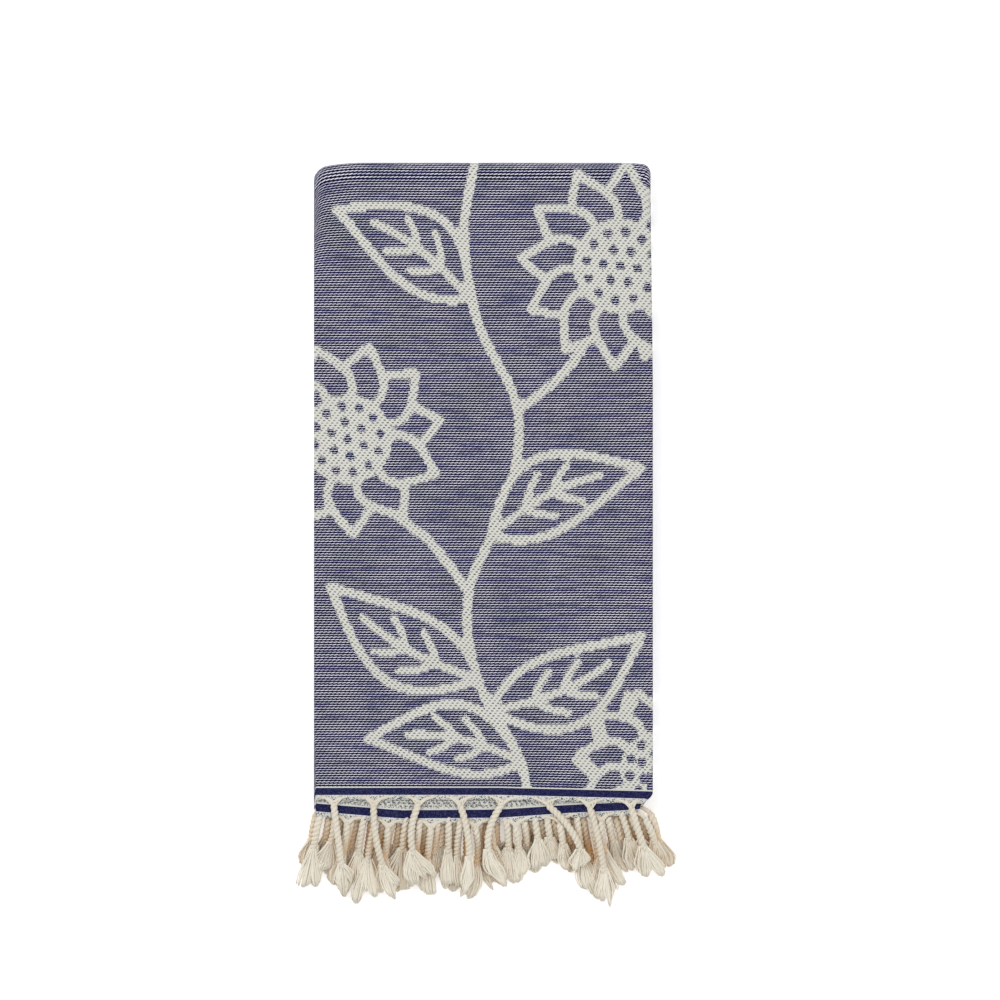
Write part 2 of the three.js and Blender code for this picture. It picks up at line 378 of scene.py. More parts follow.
@dataclass(frozen=True)
class Placing:
    """Where the folded towel lies in the model's own frame."""

    size: TowelSize
    settling: Settling
    middle_x: float
    hem_y: float

    @classmethod
    def from_frame(cls, size: TowelSize) -> "Placing":
        """Read the place from the cloth's own solid."""
        low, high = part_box(CLOTH_NODE)
        return cls(size, Settling(size), low[0] + size.half_width, high[1] - size.length)

    def place(self, points: np.ndarray) -> np.ndarray:
        """Settle points of the folded towel and move them to their place in the model."""
        return self.settling.settle(points) + np.array([self.middle_x, self.hem_y, 0.0])


def new_piece(name: str, mesh: bpy.types.Mesh) -> bpy.types.Object:
    """Put a mesh in the scene as a piece that rides on the towel's body.

    Args:
        name: The piece's name.
        mesh: Its mesh.

    Returns:
        The piece.
    """
    piece = bpy.data.objects.new(name, mesh)
    bpy.context.scene.collection.objects.link(piece)
    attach(piece, BODY)
    return piece


def shade_smooth(mesh: bpy.types.Mesh) -> None:
    """Shade every face of a mesh smooth."""
    mesh.polygons.foreach_set("use_smooth", np.ones(len(mesh.polygons), dtype=bool))


def read_rows(items: bpy.types.bpy_prop_collection, name: str, width: int) -> np.ndarray:
    """Read a vector of each item of a mesh, as rows of numbers.

    Args:
        items: The items.
        name: What to read of each.
        width: How many numbers it has.

    Returns:
        A row for each item.
    """
    values = np.empty(width * len(items))
    items.foreach_get(name, values)
    return values.reshape(-1, width)


def write_vectors(mesh: bpy.types.Mesh, name: str, vectors: np.ndarray) -> None:
    """Keep a vector for each point of a mesh, as an attribute."""
    attribute = mesh.attributes.new(name, "FLOAT_VECTOR", "POINT")
    attribute.data.foreach_set("vector", vectors.ravel())


@dataclass(frozen=True)
class Signal:
    """A number that changes over the surface, to work out others from."""

    canvas: "Canvas"
    socket: bpy.types.NodeSocket

    def __add__(self, other: "Signal | float") -> "Signal":
        """The sum."""
        return self.canvas.math("ADD", self, other)

    def __sub__(self, other: "Signal | float") -> "Signal":
        """The difference."""
        return self.canvas.math("SUBTRACT", self, other)

    def __mul__(self, other: "Signal | float") -> "Signal":
        """The product."""
        return self.canvas.math("MULTIPLY", self, other)

    def __truediv__(self, other: "Signal | float") -> "Signal":
        """The quotient."""
        return self.canvas.math("DIVIDE", self, other)

    def __gt__(self, other: "Signal | float") -> "Signal":
        """1 where this is the greater, or else 0."""
        return self.canvas.math("GREATER_THAN", self, other)

    def __lt__(self, other: "Signal | float") -> "Signal":
        """1 where this is the lesser, or else 0."""
        return self.canvas.math("LESS_THAN", self, other)

    def flipped(self) -> "Signal":
        """1 less this."""
        return self.canvas.math("SUBTRACT", 1.0, self)

    def whole(self) -> "Signal":
        """The whole part."""
        return self.canvas.math("FLOOR", self)

    def part(self) -> "Signal":
        """The part after the whole."""
        return self.canvas.math("FRACT", self)

    def sine(self) -> "Signal":
        """The sine."""
        return self.canvas.math("SINE", self)

    def ease(self, low: float, high: float, start: float = 0.0, stop: float = 1.0) -> "Signal":
        """A smooth step from start at low to stop at high."""
        return self.canvas.map_range(self, low, high, start, stop)

    def pulse(self, low: float, high: float, soft: float) -> "Signal":
        """1 between low and high, with soft edges, or else 0."""
        return self.ease(low - soft, low + soft) * self.ease(high - soft, high + soft, 1.0, 0.0)


Feed = Signal | bpy.types.NodeSocket | float | tuple[float, ...]
Colour = tuple[float, float, float, float]
Edges = tuple[float, float, float]
Range = tuple[float, float]
Ease = tuple[float, float, float, float]


class Canvas:
    """A node tree under construction, with short calls for the nodes that the finishes use."""

    def __init__(self, tree: bpy.types.NodeTree) -> None:
        """Start on an empty tree."""
        self.tree = tree
        tree.nodes.clear()

    def node(self, kind: str, **settings: object) -> bpy.types.Node:
        """Add a node.

        Args:
            kind: The node's type.
            settings: Its properties.

        Returns:
            The node.
        """
        node = self.tree.nodes.new(kind)
        for name, value in settings.items():
            setattr(node, name, value)
        return node

    def feed(self, socket: bpy.types.NodeSocket, value: Feed) -> None:
        """Link a value into a socket, or set it there.

        Args:
            socket: The input socket.
            value: What it gets.
        """
        if isinstance(value, Signal):
            value = value.socket
        if isinstance(value, bpy.types.NodeSocket):
            self.tree.links.new(value, socket)
        else:
            socket.default_value = value

    def math(self, operation: str, first: Feed, second: Feed = 0.0) -> Signal:
        """A Math node's result.

        Args:
            operation: What the node works out.
            first: Its first number.
            second: Its second number.

        Returns:
            The result.
        """
        node = self.node("ShaderNodeMath", operation=operation)
        for socket, value in zip(node.inputs, (first, second)):
            self.feed(socket, value)
        return Signal(self, node.outputs[0])

    def map_range(self, value: Feed, low: float, high: float, start: float, stop: float) -> Signal:
        """A smooth Map Range node's result.

        Args:
            value: Where to read the step.
            low: Where it starts.
            high: Where it stops.
            start: What it gives at low.
            stop: What it gives at high.

        Returns:
            The result.
        """
        node = self.node("ShaderNodeMapRange", interpolation_type="SMOOTHSTEP")
        for name, number in (("Value", value), ("From Min", low), ("From Max", high),
                             ("To Min", start), ("To Max", stop)):
            self.feed(node.inputs[name], number)
        return Signal(self, node.outputs["Result"])

    def separate(self, vector: Feed) -> tuple[Signal, Signal, Signal]:
        """The three numbers of a vector.

        Args:
            vector: The vector.

        Returns:
            Its x, y and z.
        """
        node = self.node("ShaderNodeSeparateXYZ")
        self.feed(node.inputs[0], vector)
        return tuple(Signal(self, socket) for socket in node.outputs)

    def combine(self, x: Feed, y: Feed, z: Feed = 0.0) -> bpy.types.NodeSocket:
        """A vector of three numbers.

        Args:
            x: The first number.
            y: The second number.
            z: The third number.

        Returns:
            The vector.
        """
        node = self.node("ShaderNodeCombineXYZ")
        for socket, value in zip(node.inputs, (x, y, z)):
            self.feed(socket, value)
        return node.outputs[0]

    def mix(self, share: Feed, first: Feed, second: Feed) -> bpy.types.NodeSocket:
        """A colour between two others.

        Args:
            share: The share of the second colour.
            first: The first colour.
            second: The second colour.

        Returns:
            The colour.
        """
        node = self.node("ShaderNodeMix", data_type="RGBA")
        self.feed(node.inputs["Factor"], share)
        colours = [socket for socket in node.inputs if socket.type == "RGBA"]
        self.feed(colours[0], first)
        self.feed(colours[1], second)
        return next(socket for socket in node.outputs if socket.type == "RGBA")

    def uv_map(self, name: str) -> bpy.types.NodeSocket:
        """The places of a mesh's UV map."""
        return self.node("ShaderNodeUVMap", uv_map=name).outputs["UV"]

    def attribute(self, name: str) -> bpy.types.NodeSocket:
        """The vectors of a mesh's attribute."""
        return self.node("ShaderNodeAttribute", attribute_name=name).outputs["Vector"]

    def noise(self, vector: Feed, scale: float, detail: float) -> Signal:
        """Smooth noise, from 0 to 1.

        Args:
            vector: The places.
            scale: How many times the noise turns in each unit.
            detail: How many finer noises lie in it.

        Returns:
            The noise.
        """
        node = self.node("ShaderNodeTexNoise")
        self.feed(node.inputs["Vector"], vector)
        self.feed(node.inputs["Scale"], scale)
        self.feed(node.inputs["Detail"], detail)
        return Signal(self, node.outputs["Fac"])

    def speckle(self, vector: Feed) -> Signal:
        """A number from 0 to 1 that jumps from place to place.

        Args:
            vector: The places.

        Returns:
            The number at each.
        """
        node = self.node("ShaderNodeTexWhiteNoise", noise_dimensions="2D")
        self.feed(node.inputs["Vector"], vector)
        return Signal(self, node.outputs["Value"])


def make_group(
    name: str, inputs: dict[str, str], draw: Callable[[Canvas, bpy.types.Node], dict[str, Feed]]
) -> bpy.types.NodeTree:
    """Build a shader node group that puts out a colour and a height.

    Args:
        name: The group's name.
        inputs: Its input sockets and their types.
        draw: Builds the nodes after the group's input node, and returns the colour and the height.

    Returns:
        The node group.
    """
    group = bpy.data.node_groups.new(name, "ShaderNodeTree")
    for label, kind in inputs.items():
        group.interface.new_socket(name=label, in_out="INPUT", socket_type=kind)
    group.interface.new_socket(name="Colour", in_out="OUTPUT", socket_type="NodeSocketColor")
    group.interface.new_socket(name="Height", in_out="OUTPUT", socket_type="NodeSocketFloat")
    canvas = Canvas(group)
    source = canvas.node("NodeGroupInput")
    target = canvas.node("NodeGroupOutput")
    for label, value in draw(canvas, source).items():
        canvas.feed(target.inputs[label], value)
    return group


def srgb(red: int, green: int, blue: int) -> Colour:
    """A colour given by its display values from 0 to 255, as the shader reads it.

    Args:
        red: Its red.
        green: Its green.
        blue: Its blue.

    Returns:
        The colour.
    """
    def linear(value: int) -> float:
        """The shader's value for one display value."""
        share = value / 255
        return share / 12.92 if share <= 0.04045 else ((share + 0.055) / 1.055) ** 2.4
    return (linear(red), linear(green), linear(blue), 1.0)


@dataclass(frozen=True)
class CottonSurface:
    """The matt surface of cotton, under the colour and height that a node group works out."""

    roughness: float
    specular: float
    sheen: float = 0.0

    def material(
        self,
        name: str,
        group: bpy.types.NodeTree,
        feeds: Callable[[Canvas], dict[str, Feed]],
        relief: float,
    ) -> bpy.types.Material:
        """Make a material around a node group.

        Args:
            name: The material's name.
            group: The node group.
            feeds: Gives what each of the group's inputs gets.
            relief: How far the group's height stands out, or 0 where it isn't used.

        Returns:
            The material.
        """
        material = bpy.data.materials.new(name)
        material.use_nodes = True
        canvas = Canvas(material.node_tree)
        pattern = canvas.node("ShaderNodeGroup", node_tree=group)
        for label, value in feeds(canvas).items():
            canvas.feed(pattern.inputs[label], value)
        shader = canvas.node("ShaderNodeBsdfPrincipled")
        canvas.feed(shader.inputs["Base Color"], pattern.outputs["Colour"])
        canvas.feed(shader.inputs["Roughness"], self.roughness)
        canvas.feed(shader.inputs["Specular IOR Level"], self.specular)
        canvas.feed(shader.inputs["Sheen Weight"], self.sheen)
        if relief > 0:
            bump = canvas.node("ShaderNodeBump")
            canvas.feed(bump.inputs["Distance"], relief)
            canvas.feed(bump.inputs["Height"], pattern.outputs["Height"])
            canvas.feed(shader.inputs["Normal"], bump.outputs["Normal"])
        output = canvas.node("ShaderNodeOutputMaterial")
        canvas.feed(output.inputs["Surface"], shader.outputs["BSDF"])
        return material


@dataclass(frozen=True)
class Threads:
    """What the marks of the weave are worked out from: the place among its threads, and its unevenness."""

    across: Signal
    along: Signal
    row: Signal
    in_row: Signal
    dash_place: Signal
    streaks: Signal
    patches: Signal
    fibre: Signal
    each: Signal
    grain: Signal


@dataclass(frozen=True)
class WeaveFinish:
    """The two-colour flat weave: navy and off-white yarns in rows, with a drawing in the other colour.

    Edges are the low edge, the high edge and the softness of a mark, as shares of its own pitch. Scales
    are turns of the noise for each metre, or for each row where they run along the rows. An ease is
    where a noise starts and stops to count, and where it has four numbers, what it counts there.
    """

    row: float = 1.75 * MM
    row_waver: float = 0.6
    waver_scale: float = 10.0
    dash: float = 2.95 * MM
    dash_stagger: float = 0.37
    dash_jitter: float = 0.3
    dash_rise: float = 0.3
    dash_edges: Edges = (0.1, 0.9, 0.08)
    dash_gap: float = 0.6
    dash_ease: Ease = (0.3, 0.66, 0.42, 1.0)
    uneven_dashes: float = 0.32
    float_edges: Edges = (0.41, 0.69, 0.06)
    speck_pitch: float = 3.5 * MM
    speck_stagger: float = 0.38
    speck_edges: Edges = (0.30, 0.72, 0.08)
    speck_row_edges: Edges = (0.24, 0.68, 0.12)
    speck_ease: Ease = (0.25, 0.5, 0.35, 0.65)
    uneven_specks: float = 0.35
    streak_scales: Range = (32.0, 0.45)
    patch_scale: float = 26.0
    patch_ease: Range = (0.42, 0.72)
    fibre_scales: Range = (900.0, 2600.0)
    deep_ease: Range = (0.35, 0.6)
    deep_streaks: float = 0.6
    grain_cell: float = 0.62 * MM
    reverse_ease: Range = (0.45, 0.8)
    reverse_grain: float = 0.75
    band: float = 5.0 * MM
    band_ease: Range = (0.5, 1.0)
    band_wear: float = 0.04
    rib_wear: float = 0.03
    pick_line: float = 0.9 * MM
    rib: float = 0.9 * MM
    rib_edges: Edges = (0.3, 0.7, 0.2)
    heading_ease: Range = (0.55, 0.9)
    heading_fade: float = 1.6 * MM
    heading_paling: float = 0.5
    navy: Colour = srgb(26, 25, 78)
    navy_deep: Colour = srgb(7, 7, 18)
    band_navy: Colour = srgb(17, 20, 66)
    lavender: Colour = srgb(240, 238, 254)
    grey_white: Colour = srgb(218, 220, 230)
    off_white: Colour = srgb(218, 218, 213)
    warm_white: Colour = srgb(194, 194, 184)
    speck: Colour = srgb(52, 50, 62)
    surface: CottonSurface = CottonSurface(roughness=0.92, specular=0.06)
    bump_height: float = 0.3 * MM
    rounded_row: float = 0.5
    raised_float: float = 0.5
    speck_hole: float = -0.9
    raised_rib: float = 0.35
    raised_fibre: float = 0.35

    def group(self, size: TowelSize, cut_length: float) -> bpy.types.NodeTree:
        """Build the weave's node group.

        Args:
            size: The towel's sizes.
            cut_length: The cloth's own length, from end to end.

        Returns:
            The group, which reads the cloth's own places in metres and the drawing's distance and slopes.
        """
        def draw(canvas: Canvas, source: bpy.types.Node) -> dict[str, Feed]:
            """Work out the weave's colour and height.

            Args:
                canvas: The group's nodes.
                source: The group's input node.

            Returns:
                The colour and the height.
            """
            threads = self.threads(canvas, source.outputs["Place"])
            light = self.light_side(canvas, source, threads)
            floats, specks = self.floats(threads), self.specks(threads)
            white = canvas.mix(threads.patches * 0.5 + threads.fibre * 0.5, self.warm_white, self.off_white)
            reverse = Signal(canvas, source.outputs["Reverse"])
            grainy = threads.grain.ease(*self.reverse_ease) * reverse * self.reverse_grain
            pale = canvas.mix(canvas.math("MAXIMUM", specks, grainy), white, self.speck)
            woven = canvas.mix(light, self.ground(canvas, threads, floats), pale)

            to_far_end = canvas.math("SUBTRACT", cut_length, threads.along)
            from_end = canvas.math("MINIMUM", threads.along, to_far_end)
            ribs = (threads.across / self.rib).part().pulse(*self.rib_edges)
            over_line = from_end < size.heading + self.band + self.pick_line
            colour = canvas.mix(over_line, woven, white)
            over_band = from_end < size.heading + self.band
            colour = canvas.mix(over_band, colour, self.band_colour(canvas, threads, ribs))
            heading = canvas.mix(threads.grain.ease(*self.heading_ease), white, self.speck)
            toward_band = from_end.ease(size.heading - self.heading_fade, size.heading)
            heading = canvas.mix(toward_band * self.heading_paling, heading, self.grey_white)
            colour = canvas.mix(from_end < size.heading, colour, heading)

            rows = (threads.in_row * math.pi).sine() * self.rounded_row
            fibre = threads.fibre * self.raised_fibre
            holes = specks * light * self.speck_hole
            woven_height = rows + floats * light.flipped() * self.raised_float + holes + fibre
            end_height = ribs * self.raised_rib + fibre
            return {"Colour": colour, "Height": woven_height * over_line.flipped() + end_height * over_line}

        return make_group(
            "weave",
            {"Place": "NodeSocketVector", "Drawing": "NodeSocketVector", "Reverse": "NodeSocketFloat"},
            draw,
        )

    def threads(self, canvas: Canvas, place: bpy.types.NodeSocket) -> Threads:
        """Find the place among the threads, and the noises that make them uneven.

        Args:
            canvas: The node tree.
            place: The cloth's own places, in metres.

        Returns:
            The places and noises.
        """
        across, along, _ = canvas.separate(place)
        row_place = along / self.row + canvas.noise(place, self.waver_scale, 1.0) * self.row_waver
        row = row_place.whole()
        jitter = canvas.speckle(canvas.combine(row, 0.0)) * self.dash_jitter
        dash_place = across / self.dash + row * self.dash_stagger + jitter
        streak_across, streak_row = self.streak_scales
        fibre_across, fibre_along = self.fibre_scales
        cell = canvas.combine((across / self.grain_cell).whole(), (along / self.grain_cell).whole())
        return Threads(
            across=across,
            along=along,
            row=row,
            in_row=row_place.part(),
            dash_place=dash_place,
            streaks=canvas.noise(canvas.combine(across * streak_across, row * streak_row), 1.0, 3.0),
            patches=canvas.noise(place, self.patch_scale, 2.0),
            fibre=canvas.noise(canvas.combine(across * fibre_across, along * fibre_along), 1.0, 2.0),
            each=canvas.speckle(canvas.combine(row, dash_place.whole())),
            grain=canvas.speckle(cell),
        )

    def light_side(self, canvas: Canvas, source: bpy.types.Node, threads: Threads) -> Signal:
        """Find where the light yarn lies. Each half dash takes the drawing's side at its own middle.

        Args:
            canvas: The node tree.
            source: The group's input node.
            threads: The place among the threads.

        Returns:
            1 where the light yarn lies on this face, or else 0.
        """
        distance, slope_across, slope_along = canvas.separate(source.outputs["Drawing"])
        to_middle = ((threads.dash_place * 2.0).part() * -1.0 + 0.5) * (self.dash / 2)
        to_row_middle = (threads.in_row * -1.0 + 0.5) * self.row
        drawn = (distance + slope_across * to_middle + slope_along * to_row_middle) > 0.0
        return canvas.math("ABSOLUTE", drawn - Signal(canvas, source.outputs["Reverse"]))

    def floats(self, threads: Threads) -> Signal:
        """Where a light yarn floats over the navy ground. Each dash of it rises a little to one side.

        Args:
            threads: The place among the threads.

        Returns:
            How much of the yarn shows.
        """
        in_dash = threads.dash_place.part()
        line = (threads.in_row + in_dash * self.dash_rise - self.dash_rise / 2).pulse(*self.float_edges)
        return line * (in_dash.pulse(*self.dash_edges) * self.dash_gap + (1 - self.dash_gap))

    def specks(self, threads: Threads) -> Signal:
        """Where a navy yarn shows through the light ground.

        Args:
            threads: The place among the threads.

        Returns:
            How much of it shows.
        """
        in_speck = (threads.across / self.speck_pitch + threads.row * self.speck_stagger).part()
        speck = in_speck.pulse(*self.speck_edges) * threads.in_row.pulse(*self.speck_row_edges)
        return speck * (threads.streaks.ease(*self.speck_ease) + threads.each * self.uneven_specks)

    def ground(self, canvas: Canvas, threads: Threads, floats: Signal) -> bpy.types.NodeSocket:
        """Colour the navy ground with its light dashes.

        Args:
            canvas: The node tree.
            threads: The place among the threads.
            floats: Where a light yarn floats.

        Returns:
            The colour.
        """
        dash_share = floats * (threads.streaks.ease(*self.dash_ease) + threads.each * self.uneven_dashes)
        deep = threads.streaks.ease(*self.deep_ease) * self.deep_streaks
        deep += threads.fibre * (1 - self.deep_streaks)
        navy = canvas.mix(deep, self.navy, self.navy_deep)
        bright = canvas.mix(threads.patches.ease(*self.patch_ease), self.lavender, self.grey_white)
        return canvas.mix(dash_share, navy, bright)

    def band_colour(self, canvas: Canvas, threads: Threads, ribs: Signal) -> bpy.types.NodeSocket:
        """The dark band's colour, a little worn on its ribs."""
        worn = ribs * threads.fibre * self.rib_wear + threads.grain.ease(*self.band_ease) * self.band_wear
        return canvas.mix(worn, self.band_navy, self.lavender)

    def material(self, name: str, group: bpy.types.NodeTree, reverse: bool) -> bpy.types.Material:
        """Make the material of one face of the cloth.

        Args:
            name: The material's name.
            group: The weave's node group.
            reverse: Whether this is the face with the two colours changed over.

        Returns:
            The material.
        """
        def feeds(canvas: Canvas) -> dict[str, Feed]:
            """What the weave's inputs get.

            Args:
                canvas: The material's nodes.

            Returns:
                A value for each input.
            """
            return {
                "Place": canvas.uv_map(Cloth.UV),
                "Drawing": canvas.attribute(Cloth.DRAWING),
                "Reverse": float(reverse),
            }

        return self.surface.material(name, group, feeds, self.bump_height)


@dataclass(frozen=True)
class YarnFinish:
    """Undyed cotton yarn with fine fibres round a ply or along a brush, and painted warm shade where it lies
    deep or in a crease.
    """

    # The painted shade: a warm tint that stands in for the shade and warm bounced light deep in the fringe
    # and in the creases between plies.
    painted_shade_tint: Colour = srgb(230, 186, 134)
    cream: Colour = srgb(208, 198, 178)
    light: Colour = srgb(227, 221, 207)
    brushed_cream: Colour = srgb(236, 225, 204)
    brushed_light: Colour = srgb(248, 243, 229)
    lines_round: float = 5.0
    line_share: float = 0.25
    fibre_share: float = 0.3
    spot_share: float = 0.3
    tone_share: float = 0.35
    line_colour_edges: Edges = (0.15, 0.85, 0.15)
    line_height_edges: Edges = (0.2, 0.8, 0.2)
    fibre_scales: tuple[float, float, float] = (9.0, 160.0, 40.0)
    spot_scale: float = 55.0
    surface: CottonSurface = CottonSurface(roughness=0.9, specular=0.2, sheen=0.1)

    def group(self) -> bpy.types.NodeTree:
        """Build the yarn's node group, which reads the turn round a strand and the metres along it.

        Returns:
            The group.
        """
        def draw(canvas: Canvas, source: bpy.types.Node) -> dict[str, Feed]:
            """Work out the yarn's colour and height.

            Args:
                canvas: The group's nodes.
                source: The group's input node.

            Returns:
                The colour and the height.
            """
            around, along, _ = canvas.separate(source.outputs["Place"])
            # The shade vector holds the painted shade for lying deep, the yarn's own tone, and the painted
            # shade in a ply's crease.
            depth, tone, crease_shade = canvas.separate(source.outputs["Shade"])
            twist = Signal(canvas, source.outputs["Twist"])
            lines = (around * self.lines_round + along * twist).part()
            stretched = (place * scale for place, scale in zip((around, along, tone), self.fibre_scales))
            fibres = canvas.noise(canvas.combine(*stretched), 1.0, 3.0)
            spots = canvas.noise(source.outputs["Spot"], self.spot_scale, 2.0)
            share = lines.pulse(*self.line_colour_edges) * self.line_share + fibres * self.fibre_share
            share = share + spots * self.spot_share + tone * self.tone_share
            surface = canvas.mix(share, source.outputs["Cream"], source.outputs["Light"])
            # Painted shade: the colour turns to the warm tint where the strand lies deep under others or
            # faces its partner ply.
            return {
                "Colour": canvas.mix(canvas.math("MINIMUM", depth + crease_shade, 1.0), surface, self.painted_shade_tint),
                "Height": lines.pulse(*self.line_height_edges) + fibres,
            }

        return make_group(
            "cotton yarn",
            {"Place": "NodeSocketVector", "Shade": "NodeSocketVector", "Spot": "NodeSocketVector",
             "Twist": "NodeSocketFloat", "Cream": "NodeSocketColor", "Light": "NodeSocketColor"},
            draw,
        )

    def material(self, strands: "StrandPiece", group: bpy.types.NodeTree) -> bpy.types.Material:
        """Make the material of a piece of strands.

        Args:
            strands: The piece.
            group: The yarn's node group.

        Returns:
            The material.
        """
        def feeds(canvas: Canvas) -> dict[str, Feed]:
            """What the yarn's inputs get.

            Args:
                canvas: The material's nodes.

            Returns:
                A value for each input.
            """
            return {
                "Place": canvas.uv_map(StrandPiece.UV),
                "Shade": canvas.attribute(StrandPiece.SHADE),
                "Spot": canvas.node("ShaderNodeTexCoord").outputs["Object"],
                "Twist": strands.twist,
                "Cream": self.brushed_cream if strands.brushed else self.cream,
                "Light": self.brushed_light if strands.brushed else self.light,
            }

        return self.surface.material(f"{strands.name} cotton", group, feeds, strands.relief)


def smooth_curve(points: Sequence[tuple[float, float]], steps: int = 8) -> np.ndarray:
    """A smooth curve through a few points.

    Args:
        points: The points, in order.
        steps: The short lines between each two points.

    Returns:
        Rows of places on the curve.
    """
    knots = np.array([points[0], *points, points[-1]], dtype=float)
    share = np.linspace(0, 1, steps, endpoint=False)[:, None]
    parts = []
    for before, here, there, after in zip(knots, knots[1:], knots[2:], knots[3:]):
        parts.append(0.5 * (2 * here + (there - before) * share
                            + (2 * before - 5 * here + 4 * there - after) * share**2
                            + (3 * here - before - 3 * there + after) * share**3))
    return np.concatenate([*parts, knots[-1:]])


def distance_to_line(points: np.ndarray, line: np.ndarray) -> np.ndarray:
    """The distance from each point to a broken line.

    Args:
        points: Rows of places.
        line: Rows of the line's places.

    Returns:
        The shortest distance of each point.
    """
    start, way = line[:-1], np.diff(line, axis=0)
    offset = points[:, None, :] - start[None]
    length = np.maximum((way**2).sum(axis=1), 1e-12)
    share = np.clip((offset * way).sum(axis=2) / length, 0.0, 1.0)
    nearest = offset - share[..., None] * way
    return np.sqrt((nearest**2).sum(axis=2).min(axis=1))


@dataclass(frozen=True)
class Mark:
    """One mark of the drawing: a drawn line, or a patch that is filled or cleared. Places are in mm."""

    line: np.ndarray
    half_width: float = 0.0
    filled: bool = False
    cleared: bool = False

    def moved(self, move: Callable[[np.ndarray], np.ndarray]) -> "Mark":
        """The same mark somewhere else."""
        return Mark(move(self.line), self.half_width, self.filled, self.cleared)

    def inside(self, points: np.ndarray) -> np.ndarray:
        """Which points lie within the closed line.

        Args:
            points: Rows of places.

        Returns:
            True for each point that does.
        """
        x, y = points[:, :1], points[:, 1:]
        (x0, y0), (x1, y1) = self.line[:-1].T, self.line[1:].T
        straddles = (y0 > y) != (y1 > y)
        crossing = x0 + (y - y0) * (x1 - x0) / np.where(y1 == y0, 1.0, y1 - y0)
        return (straddles & (x < crossing)).sum(axis=1) % 2 == 1

    def paint(self, points: np.ndarray, drawing: np.ndarray, margin: float) -> None:
        """Add this mark to the drawing's distances, which are positive where the yarn is light.

        Args:
            points: Rows of places.
            drawing: The distances so far, which it changes.
            margin: How far from the mark it counts.
        """
        low, high = self.line.min(axis=0) - margin, self.line.max(axis=0) + margin
        near = np.flatnonzero(((points > low) & (points < high)).all(axis=1))
        if near.size == 0:
            return
        distance = distance_to_line(points[near], self.line)
        if self.filled or self.cleared:
            signed = np.where(self.inside(points[near]), distance, -distance)
            if self.cleared:
                drawing[near] = np.minimum(drawing[near], -signed)
            if self.filled:
                drawing[near] = np.maximum(drawing[near], signed)
        if self.half_width:
            drawing[near] = np.maximum(drawing[near], self.half_width - distance)


@dataclass(frozen=True)
class Leaf:
    """A leaf with a drawn rim, midrib and side veins. Places are in mm, as seen on the top panel.

    The veins' starts and runs count the short lines of the midrib.
    """

    base: tuple[float, float]
    tip: tuple[float, float]
    width: float
    bend: float = 0.0
    veins: int = 0
    rim_line: float = 3.0
    rib_line: float = 2.7
    vein_line: float = 2.5
    rib_lines: int = 32
    drawn_rib: int = 24
    first_vein: int = 8
    veined_rib: int = 13
    vein_run: int = 5
    vein_reach: float = 0.62
    vein_bow: float = 2.5
    fullness: float = 1.08
    taper: float = 0.3
    widest: float = 0.85

    def marks(self) -> list[Mark]:
        """The leaf's marks, in painting order.

        Returns:
            The marks, the rim first.
        """
        base, tip = np.array(self.base, dtype=float), np.array(self.tip, dtype=float)
        way = tip - base
        ahead = way / np.hypot(*way)
        side = np.array([-ahead[1], ahead[0]])
        share = np.linspace(0, 1, self.rib_lines + 1)[:, None]
        middle = base + way * share + side * self.bend * np.sin(math.pi * share)
        bulge = self.width / 2 * np.sin(math.pi * share**self.widest)
        bulge *= self.fullness - self.taper * share
        rim = np.concatenate([middle + side * bulge, (middle - side * bulge)[::-1]])
        rib = middle[:self.drawn_rib + 1]
        marks = [Mark(rim, cleared=True), Mark(rim, self.rim_line), Mark(rib, self.rib_line)]
        for number in range(self.veins):
            start = self.first_vein + number * self.veined_rib // self.veins
            end = start + self.vein_run
            for turn in (1, -1):
                head = middle[end] + turn * side * bulge[end] * self.vein_reach
                bow = (middle[start] + head) / 2 - ahead * self.vein_bow
                marks.append(Mark(smooth_curve([middle[start], bow, head], 4), self.vein_line))
        return marks


@dataclass(frozen=True)
class Flower:
    """A round flower: a light disc with dark seeds, and a ring of drawn petals. Places are in mm.

    The cleared ground is a share of the reach, the petals' feet are a share of the disc's radius, and
    the petals' fullness is their width as a share of their own part of the ring.
    """

    centre: tuple[float, float]
    disc: float
    reach: float
    petals: int
    seed_rings: tuple[tuple[float, int], ...] = ()
    seed: float = 3.3
    turn: float = 0.2
    rim_line: float = 2.9
    cleared_ground: float = 0.8
    petal_feet: float = 0.6
    petal_fullness: float = 1.25

    def ways(self, count: int, turn: float) -> list[np.ndarray]:
        """Ways out from the centre, set evenly round the flower."""
        angles = [self.turn + 2 * math.pi * number / count + turn for number in range(count)]
        return [np.array([math.cos(angle), math.sin(angle)]) for angle in angles]

    def circle(self, centre: np.ndarray, radius: float, lines: int = 28) -> np.ndarray:
        """A closed round line."""
        angle = np.linspace(0, 2 * math.pi, lines + 1)
        return centre + radius * np.column_stack([np.cos(angle), np.sin(angle)])

    def marks(self) -> list[Mark]:
        """The flower's marks, in painting order.

        Returns:
            The marks, the cleared ground first and the seeds last.
        """
        centre = np.array(self.centre, dtype=float)
        marks = [Mark(self.circle(centre, self.reach * self.cleared_ground), cleared=True)]
        width = 2 * math.pi * (self.disc + self.reach) / 2 / self.petals * self.petal_fullness
        for way in self.ways(self.petals, 0.0):
            foot, head = centre + way * self.disc * self.petal_feet, centre + way * self.reach
            marks += Leaf(tuple(foot), tuple(head), width, rim_line=self.rim_line).marks()[:2]
        marks.append(Mark(self.circle(centre, self.disc), filled=True))
        for radius, count in self.seed_rings:
            for way in self.ways(count, radius):
                marks.append(Mark(self.circle(centre + radius * way, self.seed), cleared=True))
        return marks


